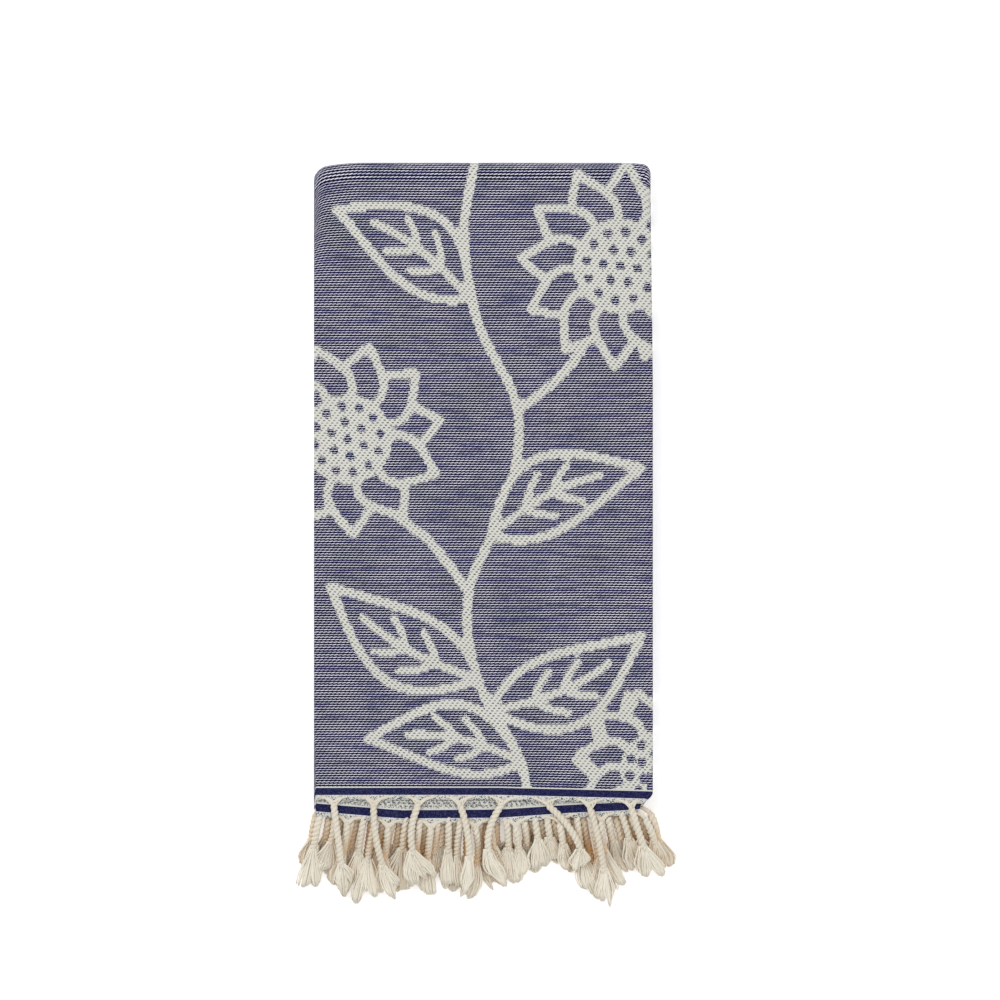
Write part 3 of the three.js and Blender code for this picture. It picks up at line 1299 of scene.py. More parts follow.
@dataclass(frozen=True)
class Drawing:
    """The woven drawing: leafy stems and round flowers, turned over from panel to panel, in mm."""

    panel: tuple[float, float]
    far: float = 14.0
    stems: tuple[tuple[tuple[float, float], ...], ...] = (
        ((150, -30), (142, 24), (112, 82), (106, 142), (132, 204), (140, 268), (112, 330), (103, 392),
         (110, 439)),
        ((106, 142), (80, 176), (56, 196), (34, 232)),
        ((140, 268), (170, 292), (192, 322), (206, 352)),
    )
    stem_line: float = 3.2
    leaves: tuple[Leaf, ...] = (
        Leaf((112, 82), (10, 146), 54, 9, 2),
        Leaf((122, 60), (226, 112), 54, -10, 2),
        Leaf((142, 24), (36, 40), 50, -10, 2),
        Leaf((122, 182), (226, 228), 54, 10, 2),
        Leaf((106, 346), (14, 408), 54, -9, 2),
    )
    flowers: tuple[Flower, ...] = (
        Flower((22, 248), 31, 66, 11, ((0, 1), (12, 6), (23, 12))),
        Flower((212, 368), 33, 70, 12, ((0, 1), (12, 6), (24, 12)), turn=0.45),
        Flower((236, 20), 25, 54, 11, ((0, 1), (11, 6), (19, 10)), turn=0.1),
    )

    def marks(self) -> list[Mark]:
        """All the marks of the four panels of a repeat, in painting order. The top panel comes last.

        Returns:
            The marks.
        """
        width, length = self.panel
        own = [Mark(smooth_curve(stem), self.stem_line) for stem in self.stems]
        for motif in (*self.leaves, *self.flowers):
            own += motif.marks()
        moves = (
            lambda line: np.array([2 * width, 2 * length]) - line,
            lambda line: np.array([2 * width, 0]) + line * [-1, 1],
            lambda line: np.array([0, 2 * length]) + line * [1, -1],
        )
        return [mark.moved(move) for move in moves for mark in own] + own

    def distances(self, points: np.ndarray) -> np.ndarray:
        """The drawing's distance at each point, positive where the yarn is light, in mm.

        Args:
            points: Rows of places on the top panel and beyond it.

        Returns:
            The distance of each.
        """
        drawing = np.full(len(points), -self.far)
        for mark in self.marks():
            mark.paint(points, drawing, self.far)
        return np.clip(drawing, -self.far, self.far)


@dataclass(frozen=True)
class Wave:
    """A slow wave of the top layer: its radians for each metre each way, its start and its snaking."""

    along: float
    across: float
    start: float
    snaking: float = 0.0
    snake_across: float = 21.0

    def at(self, u: np.ndarray, v: np.ndarray) -> np.ndarray:
        """The wave's height at places of the flat cut, from -1 to 1."""
        snake = self.snaking * np.sin(u * self.snake_across)
        return np.sin(v * self.along + u * self.across + self.start + snake)


@dataclass
class Cloth:
    """The one cloth of the towel, from its flat cut to its folded sheet."""

    size: TowelSize
    placing: Placing
    finish: WeaveFinish = field(default_factory=WeaveFinish)
    column_counts: tuple[int, ...] = (14, 7, 86, 6, 22, 5, 12)
    row_counts: tuple[int, ...] = (150, 10, 110, 6, 10, 6, 16)
    hem_shift_length: float = 60 * MM
    corner_tuck: float = 7.5 * MM
    tuck_width: float = 28 * MM
    tuck_ends: Range = (-3 * MM, 7 * MM)
    plain_end: float = 16 * MM
    selvedge_gaps: Range = (2 * MM, 1 * MM)
    waves: tuple[Wave, ...] = (Wave(47, 0, 0, 1.5), Wave(83, -38, 1), Wave(23, 61, 2))
    wave_height: float = 0.35 * MM
    wave_lift: float = 0.6
    slope_step: float = 0.5 * MM

    NAME = "towel_cloth_folded"
    UV = "cloth_place"
    DRAWING = "drawing"

    def __post_init__(self) -> None:
        """Lay out the folds across the width and along the length."""
        size = self.size
        self.across = BackAndForth(
            heights=tuple(layer.value * size.layer_pitch for layer in Layer),
            start=-size.half_width + self.selvedge_gaps[0],
            end=-size.half_width + self.selvedge_gaps[1],
            low_turn=-size.half_width + (size.layer_pitch + size.thickness) / 2,
            high_turn=size.half_width - size.outer_layer,
        )
        self.along = BackAndForth(
            heights=tuple(size.strip_height(strip) for strip in Strip),
            start=-size.heading,
            end=-size.heading,
            low_turn=size.near_fold_setback + size.strip_pitch / 2 + size.outer_layer,
            high_turn=size.length - 1.5 * size.strip_pitch - size.outer_layer,
        )
        self.cut_width = float(self.across.marks()[-1])
        self.cut_length = float(self.along.marks()[-1])

    def fold(self, u: np.ndarray, v: np.ndarray) -> np.ndarray:
        """Fold places of the flat cut.

        Args:
            u: Places across the cut.
            v: Places along the cut.

        Returns:
            Rows of x, y and z in the model.
        """
        section, course = self.across.at(u), self.along.at(v)
        rise = section.height + self.relief(u, v, section, course)
        y = course.along + rise * course.across_along
        z = course.height + rise * course.across_up
        from_end = np.minimum(v, self.cut_length - v)
        shift = 1 - smooth_share(from_end, 0.0, self.hem_shift_length)
        reach = np.where(
            course.in_first_run(),
            UPPER_HEM.at(section.along, section.layer),
            LOWER_HEM.at(section.along, section.layer),
        )
        y = y - reach * shift
        x = section.along - self.corner_tuck * (
            smooth_share(section.along, self.size.half_width - self.tuck_width, self.size.half_width)
            * smooth_share(-y, *self.tuck_ends)
        )
        return self.placing.place(np.column_stack([x, y, z]))

    def relief(self, u: np.ndarray, v: np.ndarray, section: Places, course: Places) -> np.ndarray:
        """Small unevenness of the layer that lies on top, across the cloth.

        Args:
            u: Places across the cut.
            v: Places along the cut.
            section: The same places on the folds across.
            course: The same places on the folds along.

        Returns:
            The height at each.
        """
        in_layer = smooth_share(1 - np.abs(section.layer - LAYERS.index(Layer.TOP)), 0.5, 1.0)
        waves = sum(wave.at(u, v) for wave in self.waves) / len(self.waves)
        return in_layer * course.in_first_run() * (waves + self.wave_lift) * self.wave_height

    def drawing_values(self, u: np.ndarray, v: np.ndarray) -> np.ndarray:
        """The drawing's distance at places of the cut, in metres.

        Args:
            u: Places across the cut.
            v: Places along the cut.

        Returns:
            The distance at each.
        """
        top_start, top_end = self.across.marks()[2:4]
        x = np.abs(top_end - u) / MM
        y = (np.minimum(v, self.cut_length - v) - self.size.heading) / MM
        drawing = Drawing(panel=(self.size.width / MM, self.size.length / MM))
        distance = drawing.distances(np.column_stack([x, y])) * MM
        on_top = (u > top_start) & (u < top_end)
        return np.where(on_top | (y * MM > self.plain_end), distance, -self.plain_end)

    def build(self) -> bpy.types.Object:
        """Make the folded sheet.

        Returns:
            The finished piece.
        """
        columns = self.across.steps(self.column_counts)
        rows = self.along.steps(self.row_counts)
        flat = bmesh.new()
        bmesh.ops.create_grid(flat, x_segments=len(columns) - 1, y_segments=len(rows) - 1, size=0.5)
        mesh = bpy.data.meshes.new(self.NAME)
        flat.to_mesh(mesh)
        flat.free()
        grid = read_rows(mesh.vertices, "co", 3) + 0.5
        u = columns[np.rint(grid[:, 0] * (len(columns) - 1)).astype(int)]
        v = rows[np.rint(grid[:, 1] * (len(rows) - 1)).astype(int)]
        mesh.vertices.foreach_set("co", self.fold(u, v).ravel())
        self.write_places(mesh, u, v)
        shade_smooth(mesh)
        mesh.flip_normals()
        piece = new_piece(self.NAME, mesh)
        self.dress(piece)
        self.thicken(piece)
        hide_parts(CLOTH_NODE)
        return piece

    def write_places(self, mesh: bpy.types.Mesh, u: np.ndarray, v: np.ndarray) -> None:
        """Keep the sheet's places on the flat cut, and the drawing's distance and slopes there.

        Args:
            mesh: The sheet's mesh.
            u: The place of each point across the cut.
            v: The place of each point along the cut.
        """
        loops = np.empty(len(mesh.loops), dtype=int)
        mesh.loops.foreach_get("vertex_index", loops)
        places = mesh.uv_layers.new(name=self.UV)
        places.uv.foreach_set("vector", np.column_stack([u, v])[loops].ravel())
        step = self.slope_step
        distance = self.drawing_values(u, v)
        slopes = [(self.drawing_values(u + step, v) - self.drawing_values(u - step, v)) / (2 * step),
                  (self.drawing_values(u, v + step) - self.drawing_values(u, v - step)) / (2 * step)]
        write_vectors(mesh, self.DRAWING, np.column_stack([distance, *slopes]))

    def thicken(self, piece: bpy.types.Object) -> None:
        """Give the sheet its thickness, with the reverse on its far side and round its edge.

        Args:
            piece: The sheet.
        """
        wall = piece.modifiers.new("thickness", "SOLIDIFY")
        wall.thickness = self.size.thickness
        wall.offset = 0.0
        wall.use_even_offset = False
        wall.material_offset = 1
        wall.material_offset_rim = 1

    def dress(self, piece: bpy.types.Object) -> None:
        """Give the sheet its face and reverse.

        Args:
            piece: The sheet.
        """
        group = self.finish.group(self.size, self.cut_length)
        piece.data.materials.append(self.finish.material("weave face", group, reverse=False))
        piece.data.materials.append(self.finish.material("weave reverse", group, reverse=True))


@dataclass(frozen=True)
class StrandShape:
    """A closed strand of a few sides, as the pattern that every strand of a piece is copied from."""

    sides: int
    rings: int

    def template(self) -> bpy.types.Mesh:
        """Make one straight strand, with the turn round it and the share along it as its UV map.

        Returns:
            The strand's mesh, with a radius and a length of 1.
        """
        strand = bmesh.new()
        bmesh.ops.create_cone(strand, cap_ends=True, cap_tris=False, segments=self.sides,
                              radius1=1.0, radius2=1.0, depth=1.0)
        uprights = [edge for edge in strand.edges if abs(edge.verts[0].co.z - edge.verts[1].co.z) > 0.5]
        bmesh.ops.subdivide_edges(strand, edges=uprights, cuts=self.rings - 2, use_grid_fill=False)
        places = strand.loops.layers.uv.new(StrandPiece.UV)
        for face in strand.faces:
            middle = face.calc_center_median()
            facing = math.atan2(middle.y, middle.x)
            for loop in face.loops:
                corner = loop.vert.co
                turn = math.atan2(corner.y, corner.x)
                turn += 2 * math.pi * round((facing - turn) / (2 * math.pi))
                loop[places].uv = (turn / (2 * math.pi), corner.z + 0.5)
        mesh = bpy.data.meshes.new("strand")
        strand.to_mesh(mesh)
        strand.free()
        return mesh


class Cover:
    """How high the strands lie over each place, to tell how deep a strand lies under the others, for the
    painted shade.
    """

    cell = 1.5 * MM
    shallow = 1.5 * MM
    depth_scale = 14 * MM

    def __init__(self, low: Vector, high: Vector) -> None:
        """Cover the ground between two corners of the model."""
        self.low = np.array(low[:2])
        self.heights = np.zeros(tuple(np.ceil((np.array(high[:2]) - self.low) / self.cell).astype(int) + 1))

    def cells(self, points: np.ndarray) -> tuple[np.ndarray, np.ndarray]:
        """The cells that some points lie over."""
        found = ((points[..., :2] - self.low) / self.cell).astype(int)
        return tuple(np.clip(found[..., axis], 0, self.heights.shape[axis] - 1) for axis in (0, 1))

    def add(self, points: np.ndarray) -> None:
        """Lay some strands over the ground."""
        np.maximum.at(self.heights, self.cells(points), points[..., 2])

    def soften(self) -> None:
        """Let the height run out over the cells around."""
        for axis in (0, 1, 0, 1):
            beside = np.maximum(np.roll(self.heights, 1, axis), np.roll(self.heights, -1, axis))
            self.heights = np.maximum(self.heights, beside)
        for axis in (0, 1, 0, 1):
            beside = np.roll(self.heights, 1, axis) + np.roll(self.heights, -1, axis)
            self.heights = (beside + self.heights) / 3

    def depth(self, points: np.ndarray) -> np.ndarray:
        """How deep some points lie, from 0 at the surface to 1, which sets how much painted shade they get.
        """
        under = self.heights[self.cells(points)] - points[..., 2] - self.shallow
        return np.clip(under / self.depth_scale, 0.0, 1.0)


@dataclass
class StrandPiece:
    """Many strands joined into one piece."""

    name: str
    shape: StrandShape
    twist: float = 0.0
    relief: float = 0.0
    brushed: bool = False
    # How strongly the painted shade shows where a strand lies deep under others, and on a ply's side that
    # faces its partner.
    deep_shade_share: float = 1.0
    crease_shade_share: float = 0.75
    courses: list[np.ndarray] = field(default_factory=list)
    radii: list[np.ndarray] = field(default_factory=list)
    tones: list[float] = field(default_factory=list)
    inward: list[np.ndarray] = field(default_factory=list)

    UV = "strand_place"
    # The attribute with each point's painted deep shade, its own random tone and its painted crease shade.
    SHADE = "shade"

    def add(
        self, course: np.ndarray, radius: np.ndarray, tone: float, inward: np.ndarray | None = None
    ) -> None:
        """Add a strand.

        Args:
            course: A row of x, y and z for each ring.
            radius: The strand's radius at each ring.
            tone: How light its yarn is, from 0 to 1.
            inward: The way from each ring to the ply it is twisted with, if any, which sets the painted
                crease shade.
        """
        self.courses.append(course)
        self.radii.append(radius)
        self.tones.append(tone)
        self.inward.append(np.zeros_like(course) if inward is None else inward)

    def build(self, cover: Cover) -> bpy.types.Object:
        """Join the strands and shape each along its course.

        Args:
            cover: How high all the strands lie.

        Returns:
            The piece, without its materials.
        """
        template = self.shape.template()
        joined = bmesh.new()
        for _ in self.courses:
            joined.from_mesh(template)
        mesh = bpy.data.meshes.new(self.name)
        joined.to_mesh(mesh)
        joined.free()
        pattern = read_rows(template.vertices, "co", 3)
        ring = np.rint((pattern[:, 2] + 0.5) * (self.shape.rings - 1)).astype(int)
        courses, radii = np.array(self.courses), np.array(self.radii)
        across, upward = frames_along(courses)
        outward = across[:, ring] * pattern[:, 0, None] + upward[:, ring] * pattern[:, 1, None]
        corners = courses[:, ring] + outward * radii[:, ring, None]
        mesh.vertices.foreach_set("co", corners.ravel())
        self.write_places(mesh, courses, len(template.loops))
        # The painted shade: a darker, warmer colour where a point lies deep under other strands, and on a
        # ply's side that faces its partner.
        depth = cover.depth(courses)[:, ring] * self.deep_shade_share
        tone = np.broadcast_to(np.array(self.tones)[:, None], depth.shape)
        crease_shade = np.clip((outward * np.array(self.inward)[:, ring]).sum(axis=2), 0, 1) * self.crease_shade_share
        write_vectors(mesh, self.SHADE, np.stack([depth, tone, crease_shade], axis=-1))
        bpy.data.meshes.remove(template)
        shade_smooth(mesh)
        return new_piece(self.name, mesh)

    def write_places(self, mesh: bpy.types.Mesh, courses: np.ndarray, loops_each: int) -> None:
        """Turn the UV map's share along each strand into metres.

        Args:
            mesh: The joined strands.
            courses: The strands' courses.
            loops_each: The face corners of one strand.
        """
        lengths = np.linalg.norm(np.diff(courses, axis=1), axis=2).sum(axis=1)
        layer = mesh.uv_layers[self.UV]
        places = read_rows(layer.uv, "vector", 2)
        places[:, 1] *= np.repeat(lengths, loops_each)
        layer.uv.foreach_set("vector", places.ravel())


def frames_along(courses: np.ndarray) -> tuple[np.ndarray, np.ndarray]:
    """The two ways across each strand, at each ring.

    Args:
        courses: For each strand, a row of x, y and z for each ring.

    Returns:
        The sideways way and the upward way, both square to the strand.
    """
    way = np.gradient(courses, axis=1)
    way /= np.linalg.norm(way, axis=2, keepdims=True)
    across = np.cross(way, np.array([0.0, 0.0, 1.0]))
    across /= np.maximum(np.linalg.norm(across, axis=2, keepdims=True), 1e-9)
    return across, np.cross(way, across)


@dataclass(frozen=True)
class Heap:
    """One of the heaps that tassels lie in: its floor, and where cords leave their layer and settle."""

    floor: float
    clear: float
    settled: float
    level_tip: float


@dataclass(frozen=True)
class Tassel:
    """One tassel: legs out of the heading, a twisted cord and a loose brush. Lengths are in mm."""

    layer: Layer
    root: float
    bend: float
    tip: float
    reach: float
    brush: float = 20
    brush_length: float = 23


# Places across the fringe, and how far its tufts reach out there past the upper hem's line, in mm.
FRINGE_REACH = (
    (-126, -114, -106, -86, -65, -44, -23, -5, 4, 22, 39, 60, 81, 101, 118, 129),
    (58, 61, 67, 72, 72, 66, 70, 70, 59, 61, 48, 50, 76, 57, 56, 58),
)

# The tassels that lie on top, from left to right.
TOP_TASSELS = (
    Tassel(Layer.TOP, -104, -100, -96, 66, 16, 20),
    Tassel(Layer.TOP, -76, -73, -61, 69, 18, 22),
    Tassel(Layer.TOP, -44, -50, -38, 61, 24, 24),
    Tassel(Layer.TOP, -17, -10, -14, 68, 18, 27),
    Tassel(Layer.TOP, 14, 3, 14, 60, 26, 24),
    Tassel(Layer.TOP, 43, 64, 68, 53, 22, 17),
    Tassel(Layer.TOP, 73, 82, 85, 77, 16, 28),
    Tassel(Layer.TOP, 102, 110, 119, 57, 23, 23),
)


@dataclass(frozen=True)
class Lock:
    """One lock of a brush: the share of the way where it ends, its side, its swing and how it narrows."""

    end: float
    aim: float
    swing: float
    narrowing: float


@dataclass(frozen=True)
class BrushShape:
    """How a brush opens into locks of fibres. Ranges are the ends of a seeded number.

    Lock ends, rounding and shortfall are shares of the tassel's way. Lock places, stray and swings are
    shares of half the brush's width. Radii, sink and the least height are in mm.
    """

    fibres: int = 126
    root_radius: float = 0.53
    tip_radius: float = 0.34
    most_locks: int = 3
    lock_places: float = 0.8
    lock_stray: Range = (-0.15, 0.15)
    lock_ends: Range = (-0.09, 0.05)
    lock_swings: Range = (-0.3, 0.3)
    lock_narrowing: Range = (0.15, 0.8)
    narrowing_start: float = 0.6
    rounding: float = 0.05
    stray: float = 0.5
    shortfall: Range = (0.0, 0.03)
    fibre_width: float = 0.3
    first_fullness: float = 0.15
    fullness_rise: float = 1.1
    opening: float = 0.85
    bundle: float = 0.8
    flattening: float = 0.35
    sink: float = 0.9
    least_height: float = 0.5
    tones: Range = (0.2, 1.0)

    def opened(self, grow: np.ndarray) -> np.ndarray:
        """How far the brush has opened at shares of a fibre's length."""
        return grow**self.opening

    def fullness_at(self, grow: np.ndarray, lock: Lock) -> np.ndarray:
        """How wide a lock is at shares of a fibre's length, as a share of its full width."""
        narrowed = 1 - lock.narrowing * smooth_share(grow, self.narrowing_start, 1.0)
        return np.minimum(self.first_fullness + self.fullness_rise * grow, 1.0) * narrowed

    def radius_at(self, grow: np.ndarray) -> np.ndarray:
        """A fibre's radius at shares of its length."""
        return (self.root_radius + (self.tip_radius - self.root_radius) * grow) * MM


@dataclass
class Fringe:
    """The tassels of one end of the cloth, in mm. Ranges are limits, or the ends of a seeded number.

    The parting's clearance is a share of a brush's width. The shortest cord, the brush's overlap and the
    threads' end are shares of a tassel's way, and the legs' bow is a share of their spread.
    """

    node: str
    size: TowelSize
    placing: Placing
    hem: HemLine
    strip: Strip
    face_up: int
    rows: tuple[tuple[Layer, float, float], ...]
    heap: Heap
    top_tassels: tuple[Tassel, ...] = ()
    top_heap: Heap = Heap(10.2, 26, 60, 2)
    per_layer: int = 8
    splay: float = 1.1
    sway: float = 3.0
    sway_length: float = 34.0
    parting: float = -0.5
    parting_clearance: float = 0.6
    root_shifts: Range = (-1, 1)
    bend_shifts: Range = (-2.5, 2.5)
    tip_shifts: Range = (-4, 4)
    reach_shifts: Range = (-7, 4)
    brush_widths: Range = (18, 28)
    brush_lengths: Range = (23, 35)
    tip_limits: Range = (-128, 130)
    root_limits: Range = (-114, 107)
    cord_radius: float = 2.65
    ply_radius: float = 1.6
    twist_pitch: float = 6.9
    twist_start: float = 4.0
    lift_length: float = 6.0
    thin_start: float = 0.3
    thin_length: float = 5.0
    least_cord: float = 0.45
    brush_overlap: float = 0.04
    root_depth: float = 5.0
    heading_depth: float = 1.2
    legs: tuple[float, ...] = (11.0, 7.0, 3.5)
    leg_radii: tuple[float, ...] = (0.8, 0.65, 0.65)
    leg_end_radius: float = 1.3
    leg_spreads: Range = (0.85, 1.1)
    leg_bow: float = 0.07
    leg_lift: float = 0.5
    leg_rings: int = 9
    thread_end: float = 0.05
    thread_gap: float = 0.6
    tones: Range = (0.3, 1.0)
    brush_shape: BrushShape = BrushShape()
    seed: int = 7

    def __post_init__(self) -> None:
        """Lay out the tassels with seeded unevenness."""
        self.random = np.random.default_rng(self.seed)
        self.cords = StrandPiece(f"{self.node}_cords", StrandShape(7, 62), twist=380.0, relief=0.2 * MM)
        leg_shape = StrandShape(5, self.leg_rings)
        self.threads = StrandPiece(f"{self.node}_roots", leg_shape, twist=300.0, relief=0.1 * MM)
        # The brushes take less of the painted deep shade than the cords.
        self.brushes = StrandPiece(f"{self.node}_brushes", StrandShape(3, 8), brushed=True, deep_shade_share=0.45)
        for tassel in self.tassels():
            self.add_cord(tassel)
            self.add_threads(tassel)
            self.add_brush(tassel)

    def seeded(self, ends: Range) -> float:
        """The next seeded number between two ends."""
        return self.random.uniform(*ends)

    def tassels(self) -> list[Tassel]:
        """All the tassels of this end, those of the top layer first.

        Returns:
            The tassels.
        """
        pitch = self.size.width / MM / self.per_layer
        left = -self.size.half_width / MM
        tassels = list(self.top_tassels)
        for layer, first, shorter in self.rows:
            for column in range(self.per_layer):
                root = left + pitch * (column + first)
                tip = self.splay * root + self.sway * math.sin(root / self.sway_length)
                reach = float(np.interp(tip, *FRINGE_REACH)) - shorter
                root += self.seeded(self.root_shifts)
                bend = (root + tip) / 2 + self.seeded(self.bend_shifts)
                tip += self.seeded(self.tip_shifts)
                brush = self.seeded(self.brush_widths)
                reach += self.seeded(self.reach_shifts)
                tip = self.clear_tip(tip, brush)
                tassels.append(Tassel(layer, root, bend, tip, reach, brush, self.seeded(self.brush_lengths)))
        return tassels

    def clear_tip(self, tip: float, brush: float) -> float:
        """Where a brush's tip lies once the brush is inside the fringe's sides and beside its parting.

        Args:
            tip: Where the tip lies before.
            brush: The brush's width.

        Returns:
            Where it lies then.
        """
        low, high = self.tip_limits
        aside = float(np.clip(tip, low + brush / 2, high - brush / 2)) - self.parting
        return self.parting + math.copysign(max(abs(aside), self.parting_clearance * brush), aside)

    def layer_floor(self, layer: Layer) -> float:
        """The height of the underside of a layer of this end, in mm."""
        middle = self.size.strip_height(self.strip) + self.face_up * layer.value * self.size.layer_pitch
        return (middle - self.size.thickness / 2) / MM

    def hem_out(self, tassel: Tassel, x: float) -> float:
        """How far out a tassel's own layer ends at some place across, in mm."""
        return float(self.hem.at(x * MM, LAYERS.index(tassel.layer))) / MM

    def root_out(self, tassel: Tassel) -> float:
        """How far out a tassel's root lies past the upper hem's line, in mm."""
        return self.hem_out(tassel, tassel.root) + self.root_depth

    def course(self, tassel: Tassel, share: np.ndarray) -> np.ndarray:
        """The middle line of a tassel's cord.

        Args:
            tassel: The tassel.
            share: Shares of the way from its root to its tip.

        Returns:
            Rows of x, y and z in mm, before settling.
        """
        heap = self.top_heap if tassel.layer is Layer.TOP and self.top_tassels else self.heap
        out_start = self.root_out(tassel)
        control = 2 * tassel.bend - (tassel.root + tassel.tip) / 2
        x = (1 - share) ** 2 * tassel.root + 2 * share * (1 - share) * control + share**2 * tassel.tip
        out = out_start + (tassel.reach - out_start) * share
        settled = min(heap.settled, tassel.reach - heap.level_tip)
        fall = smooth_share(out, heap.clear, settled)
        filled = smooth_share(out, out_start, out_start + self.lift_length)
        floor = self.layer_floor(tassel.layer) * (1 - fall) + heap.floor * fall
        rise = self.size.thickness / 2 / MM * (1 - filled) + self.cord_radius * filled
        return np.column_stack([x, -out, floor + rise])

    def to_model(self, points: np.ndarray) -> np.ndarray:
        """Settle points given in mm and place them in the model."""
        return self.placing.place(points * MM)

    def leg(self, tassel: Tassel, spread: float, end: np.ndarray, share: np.ndarray) -> np.ndarray:
        """The course of a leg from the heading to the root.

        Args:
            tassel: The tassel.
            spread: How far to the side of the root the leg leaves the heading.
            end: Where the leg ends.
            share: Shares of the way.

        Returns:
            Rows of x, y and z in mm.
        """
        x = np.clip(tassel.root + spread, *self.root_limits)
        out = self.hem_out(tassel, x) + self.heading_depth
        foot = np.array([x, -out, self.layer_floor(tassel.layer) + self.size.thickness / 2 / MM])
        course = foot + (end - foot) * share[:, None]
        course[:, 1] += self.leg_bow * abs(spread) * np.sin(math.pi * share)
        course[:, 2] += self.leg_lift * np.sin(math.pi * share)
        return course

    def cord_share(self, tassel: Tassel) -> float:
        """The share of a tassel's way at which its cord ends."""
        return max(1 - tassel.brush_length / (tassel.reach - self.root_out(tassel)), self.least_cord)

    def add_cord(self, tassel: Tassel) -> None:
        """Add the two plies of a tassel. Each starts as one of the legs that leave the heading.

        Args:
            tassel: The tassel.
        """
        end = self.cord_share(tassel) + self.brush_overlap
        middle = self.course(tassel, np.linspace(0.0, end, self.cords.shape.rings - self.leg_rings))
        travelled = np.concatenate([[0.0], np.cumsum(np.linalg.norm(np.diff(middle, axis=0), axis=1))])
        across, upward = (way[0] for way in frames_along(middle[None]))
        angle = self.random.uniform(0, 2 * math.pi) + 2 * math.pi * travelled / self.twist_pitch
        open_up = smooth_share(travelled, 0.0, self.twist_start)
        offset = (self.cord_radius - self.ply_radius) * open_up[:, None]
        swing = np.cos(angle)[:, None] * across + np.sin(angle)[:, None] * upward
        tone = self.seeded(self.tones)
        leg_share = np.linspace(0, 1, self.leg_rings, endpoint=False)
        radius = np.concatenate([
            np.linspace(self.leg_radii[0], self.leg_end_radius, self.leg_rings),
            self.ply_radius - self.thin_start * (1 - smooth_share(travelled, 0.0, self.thin_length)),
        ])
        for side in (1, -1):
            ply = middle + side * offset * swing
            spread = side * self.legs[0] * self.seeded(self.leg_spreads)
            leg = self.leg(tassel, spread, ply[0], leg_share)
            inward = np.concatenate([np.zeros_like(leg), -side * swing * open_up[:, None]])
            self.cords.add(self.to_model(np.concatenate([leg, ply])), radius * MM, tone, inward)

    def add_threads(self, tassel: Tassel) -> None:
        """Add the thinner legs that run from the heading to a tassel's root.

        Args:
            tassel: The tassel.
        """
        share = np.linspace(0, 1, self.leg_rings)
        end = self.course(tassel, np.array([self.thread_end]))[0]
        for spread, radius in zip(self.legs[1:], self.leg_radii[1:]):
            for side in (1, -1):
                leg = self.leg(tassel, side * spread, end + [side * self.thread_gap, 0, 0], share)
                radii = np.full(self.leg_rings, radius * MM)
                self.threads.add(self.to_model(leg), radii, self.seeded(self.tones))

    def add_brush(self, tassel: Tassel) -> None:
        """Add the fibres of a tassel's brush, which lie in a few locks.

        Args:
            tassel: The tassel.
        """
        shape = self.brush_shape
        start = self.cord_share(tassel)
        grow = np.linspace(0, 1, self.brushes.shape.rings)
        locks = int(self.random.integers(1, shape.most_locks + 1))
        for number in range(locks):
            aim = ((2 * number + 1) / locks - 1) * shape.lock_places + self.seeded(shape.lock_stray)
            lock = Lock(
                end=1 + self.seeded(shape.lock_ends) - shape.rounding * abs(aim),
                aim=aim,
                swing=self.seeded(shape.lock_swings),
                narrowing=self.seeded(shape.lock_narrowing),
            )
            for _ in range(shape.fibres // locks):
                self.add_fibre(tassel, start, lock, grow)

    def add_fibre(self, tassel: Tassel, start: float, lock: Lock, grow: np.ndarray) -> None:
        """Add one fibre of a lock.

        Args:
            tassel: The tassel.
            start: The share of the tassel's way at which the brush starts.
            lock: The lock.
            grow: Shares of the fibre's own length.
        """
        shape = self.brush_shape
        within = float(np.clip(self.random.normal(0, shape.stray), -1, 1))
        end = lock.end - shape.rounding * within**2 - self.seeded(shape.shortfall)
        line = self.course(tassel, start + (end - start) * grow)
        inner = self.random.uniform(0, 2 * math.pi)
        spread = math.sqrt(self.random.uniform(0, 1)) * self.cord_radius * shape.bundle
        opened = shape.opened(grow)
        aside = (lock.aim * opened + lock.swing * grow**2) * tassel.brush / 2
        aside += within * shape.fullness_at(grow, lock) * tassel.brush * shape.fibre_width
        line[:, 0] += math.cos(inner) * spread * (1 - opened) + aside
        line[:, 2] += math.sin(inner) * spread * (1 - shape.flattening * opened) - shape.sink * opened
        line[:, 2] = np.maximum(line[:, 2], shape.least_height)
        self.brushes.add(self.to_model(line), shape.radius_at(grow), self.seeded(shape.tones))

    def pieces(self) -> tuple[StrandPiece, ...]:
        """The pieces of this end."""
        return (self.cords, self.threads, self.brushes)

    def build(self, yarn: YarnFinish, group: bpy.types.NodeTree, cover: Cover) -> list[bpy.types.Object]:
        """Make the tassels of this end.

        Args:
            yarn: The yarn's finish.
            group: The yarn's node group.
            cover: How high all the strands lie.

        Returns:
            The finished pieces.
        """
        made = []
        for strands in self.pieces():
            piece = strands.build(cover)
            piece.data.materials.append(yarn.material(strands, group))
            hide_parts(self.node)
            made.append(piece)
        return made


@dataclass(frozen=True)
class Lamp:
    """A soft square light that faces the towel."""

    name: str
    place: tuple[float, float, float]
    power: float
    width: float = 1.8

    def build(self, scene: bpy.types.Scene) -> None:
        """Hang the light and turn it to the towel.

        Args:
            scene: The scene.
        """
        data = bpy.data.lights.new(self.name, "AREA")
        data.energy = self.power
        data.size = self.width
        light = bpy.data.objects.new(self.name, data)
        light.location = self.place
        light.rotation_euler = (-Vector(self.place)).to_track_quat("-Z", "Y").to_euler()
        scene.collection.objects.link(light)


